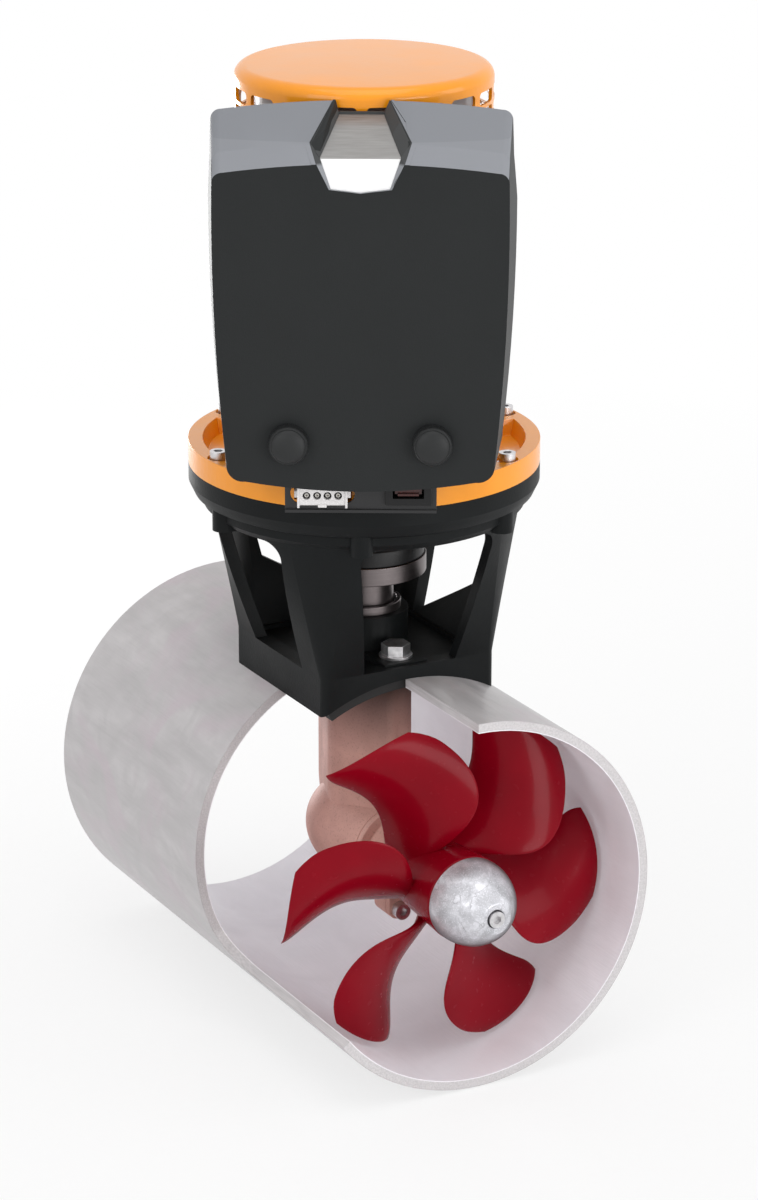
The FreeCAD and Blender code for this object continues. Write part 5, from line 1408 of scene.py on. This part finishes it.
@dataclass
class Controls(SubAssembly):
    """What the cover hides, and the panel with connector and fuse below it."""

    panel_front: float = 93.0 * MM
    socket_side: float = -18.5 * MM
    socket_height: float = 210.6 * MM
    socket_half: float = 11.6 * MM
    socket_reach: float = 4.6 * MM
    end_half: float = 6.0 * MM
    ways: int = 4
    pitch: float = 5.08 * MM
    contact_reach: float = 3.1 * MM
    contact_length: float = 6.0 * MM
    sleeve_radii: tuple[float, float] = (0.55 * MM, 1.05 * MM)
    insert_radii: tuple[float, float] = (1.1 * MM, 1.9 * MM)
    insert_sunk: float = 1.2 * MM
    fuse_side: float = 23.0 * MM
    fuse_back: float = 92.4 * MM
    fuse_blade: float = 3.6 * MM
    carried: dict[str, Finish] = field(default_factory=lambda: {
        "cover_studs": PLATED_STEEL, "relay_plate": PLATED_STEEL, "relays": RELAY_PLASTIC, "relay_studs": COPPER,
        "bus_bar": COPPER, "control_module": INSULATOR, "terminal_block": INSULATOR, "power_studs": COPPER,
        "connector_pins": TINNED, "fuse": FUSE_PLASTIC})
    rounded: tuple[Rounded, ...] = (
        Rounded("connector_panel", "socket_panel", PANEL_PAINT, 0.25),
        Rounded("connector", "white_socket", WHITE_PLASTIC, 0.2),
        Rounded("fuse_holder", "fuse_socket", BLACK_PLASTIC, 0.4))

    def build(self) -> None:
        """Round the panel, the connector and the fuse holder, and add their small parts."""
        super().build()
        self.socket_ends()
        self.contacts()
        self.fuse_details()

    def socket_ends(self) -> None:
        """White end plates that stand above and below the socket, and its clip and keys."""
        ends = Surface("socket_ends")
        front, middle = self.panel_front + self.socket_reach, self.socket_height
        for side in (-1.0, 1.0):
            ends.bar(self.socket_side + side * self.socket_half, 0.55 * MM, self.panel_front + 0.1 * MM, front,
                     middle - self.end_half, middle + self.end_half, 0.2 * MM)
        for low, high in ((-5.8, -4.2), (4.2, 5.2)):
            ends.bar(self.socket_side, 2.1 * MM, self.panel_front, front - 0.3 * MM, middle + low * MM,
                     middle + high * MM)
        ends.piece(Body.HOUSING, WHITE_PLASTIC, bevel=0.12 * MM)

    def contacts(self) -> None:
        """Tubular contact and dark insert of each way: short lathed sleeves."""
        front = self.panel_front + self.contact_reach
        back = front - self.contact_length
        for name, finish, (inner, outer), start, corner in (
                ("socket_contacts", TINNED, self.sleeve_radii, front, 0.12 * MM),
                ("socket_inserts", BLACK_PLASTIC, self.insert_radii, front - self.insert_sunk, 0.1 * MM)):
            sleeves = Surface(name)
            for way in range(self.ways):
                side = self.socket_side + (way - (self.ways - 1) / 2) * self.pitch
                ring = filleted([(inner, start), (outer, start), (outer, back), (inner, back)], corner, 3)
                sleeves.lathe(ring, facing(side, 0.0, self.socket_height), COVER_AXES, 28)
            sleeves.piece(Body.HOUSING, finish)

    def fuse_details(self) -> None:
        """Blades and grip of the fuse behind the holder's face."""
        grip = Surface("fuse_grip")
        grip.bar(self.fuse_side, 5.2 * MM, self.fuse_back, 94.0 * MM, 209.7 * MM, 210.9 * MM)
        grip.piece(Body.HOUSING, FUSE_PLASTIC, bevel=0.15 * MM)
        tips = Surface("fuse_blades")
        for side in (-1.0, 1.0):
            tips.bar(self.fuse_side + side * self.fuse_blade, 1.1 * MM, self.fuse_back, 93.6 * MM, 213.2 * MM,
                     213.8 * MM, 0.1 * MM)
        tips.piece(Body.HOUSING, TINNED)


# ---- studio -------------------------------------------------------------------------------
def aimed(made: bpy.types.Object, place: Sequence[float], target: Sequence[float]) -> None:
    """Put a new object at a place so that it looks at a target.

    Args:
        made: a camera or a lamp.
        place: where it goes, in metres.
        target: what it looks at.
    """
    made.location = Vector(place)
    made.rotation_mode = "QUATERNION"
    made.rotation_quaternion = (Vector(target) - made.location).to_track_quat("-Z", "Y")
    bpy.context.scene.collection.objects.link(made)


@dataclass(frozen=True)
class Lamp:
    """A square soft lamp that shines at the part's middle: its name, place, side and power."""

    name: str
    place: Place
    size: float
    power: float

    def build(self) -> None:
        """Hang the lamp where the camera does not see it."""
        light = bpy.data.lights.new(self.name, "AREA")
        light.size = self.size
        light.energy = self.power
        made = bpy.data.objects.new(self.name, light)
        made.visible_camera = False
        aimed(made, self.place, (0.0, 0.0, 0.2))


@dataclass
class Studio:
    """Camera, pale floor, soft lamps and a white background."""

    camera_place: Place = (1.7663, -0.9392, 0.8089)
    target: Place = (0.0, 0.0, 0.1245)
    lens: float = 124.0
    shift_x: float = 0.0124
    floor_drop: float = 0.0005
    floor_radius: float = 6.0
    dim_sky: float = 0.62
    lamps: tuple[Lamp, ...] = (
        Lamp("overhead", (0.5, -0.2, 2.2), 1.8, 14.0),
        Lamp("front_left", (1.0, -2.0, 1.0), 1.2, 9.0),
        Lamp("right", (1.2, 1.8, 0.9), 1.0, 6.0),
        Lamp("tunnel_end", (2.1, 0.5, 0.15), 1.1, 18.0),
        Lamp("tunnel_back", (-1.2, -0.02, 0.06), 0.4, 5.5))

    def build(self) -> None:
        """Set up the view, the floor and the light."""
        self.camera()
        self.floor()
        for lamp in self.lamps:
            lamp.build()
        self.world()
        bpy.context.scene.view_settings.view_transform = "Standard"

    def camera(self) -> None:
        """A long lens that looks a little down at the cover's front."""
        made = bpy.data.objects.new("camera", bpy.data.cameras.new("camera"))
        made.data.lens = self.lens
        made.data.sensor_width = 36.0
        made.data.shift_x = self.shift_x
        made.data.clip_end = 50.0
        aimed(made, self.camera_place, self.target)
        bpy.context.scene.camera = made

    def floor(self) -> None:
        """A large pale disc just under the part: white when seen, fully so away from the part."""
        low = CAD_BOX[0][2] - self.floor_drop
        turn = np.linspace(0.0, 2 * math.pi, 96, endpoint=False)
        rim = np.stack([self.floor_radius * np.cos(turn), self.floor_radius * np.sin(turn),
                        np.full_like(turn, low)], axis=1)
        mesh = bpy.data.meshes.new("floor")
        mesh.from_pydata(rim, [], [tuple(range(len(rim)))])
        made = linked("floor", mesh)
        material = bpy.data.materials.new("pale_floor")
        material.use_nodes = True
        wiring = Wiring(material.node_tree)
        shader = material.node_tree.nodes["Principled BSDF"]
        place = wiring.place()
        grain = wiring.effect(GRAIN, Place=place, Size=0.004)
        wiring.feed(shader.inputs["Base Color"], wiring.mix(grain, (0.88, 0.88, 0.88), (0.92, 0.92, 0.92)))
        shader.inputs["Roughness"].default_value = 0.9
        away = wiring.node("ShaderNodeVectorMath", operation="LENGTH")
        wiring.feed(away.inputs[0], place)
        far = wiring.blend(wiring.above(away.outputs["Value"], 0.75, 0.9), 0.72, 1.0)
        white = wiring.node("ShaderNodeEmission")
        both = wiring.node("ShaderNodeMixShader", Fac=wiring.times(far, self.seen(wiring)))
        wiring.feed(both.inputs[1], shader.outputs["BSDF"])
        wiring.feed(both.inputs[2], white.outputs["Emission"])
        wiring.feed(material.node_tree.nodes["Material Output"].inputs["Surface"], both.outputs["Shader"])
        made.data.materials.append(material)

    def seen(self, wiring: Wiring) -> Socket:
        """Mask that is 1 for what the camera, a reflection or a view through glass sees.

        Args:
            wiring: helper on the tree that uses it.

        Returns:
            The mask's socket.
        """
        path = wiring.node("ShaderNodeLightPath")
        mirrored = wiring.maths("MAXIMUM", path.outputs["Is Glossy Ray"], path.outputs["Is Transmission Ray"])
        return wiring.maths("MAXIMUM", path.outputs["Is Camera Ray"], mirrored)

    def world(self) -> None:
        """White to the camera, to reflections and through glass; a soft grey light otherwise."""
        world = bpy.data.worlds.new("studio")
        bpy.context.scene.world = world
        world.use_nodes = True
        wiring = Wiring(world.node_tree)
        shade = world.node_tree.nodes["Background"]
        shade.inputs["Color"].default_value = (1.0, 1.0, 1.0, 1.0)
        wiring.feed(shade.inputs["Strength"], wiring.blend(self.seen(wiring), self.dim_sky, 1.0))


def main() -> None:
    """Build the sub-assemblies in order, then the studio."""
    logging.basicConfig(level=logging.INFO, format="%(name)s: %(message)s")
    parts: list[SubAssembly] = [Tunnel(), Tail(), Propeller(), Bracket(), Motor(), Cover(), Controls()]
    for part in parts:
        part.build()
    Studio().build()


if __name__ == "__main__":
    main()
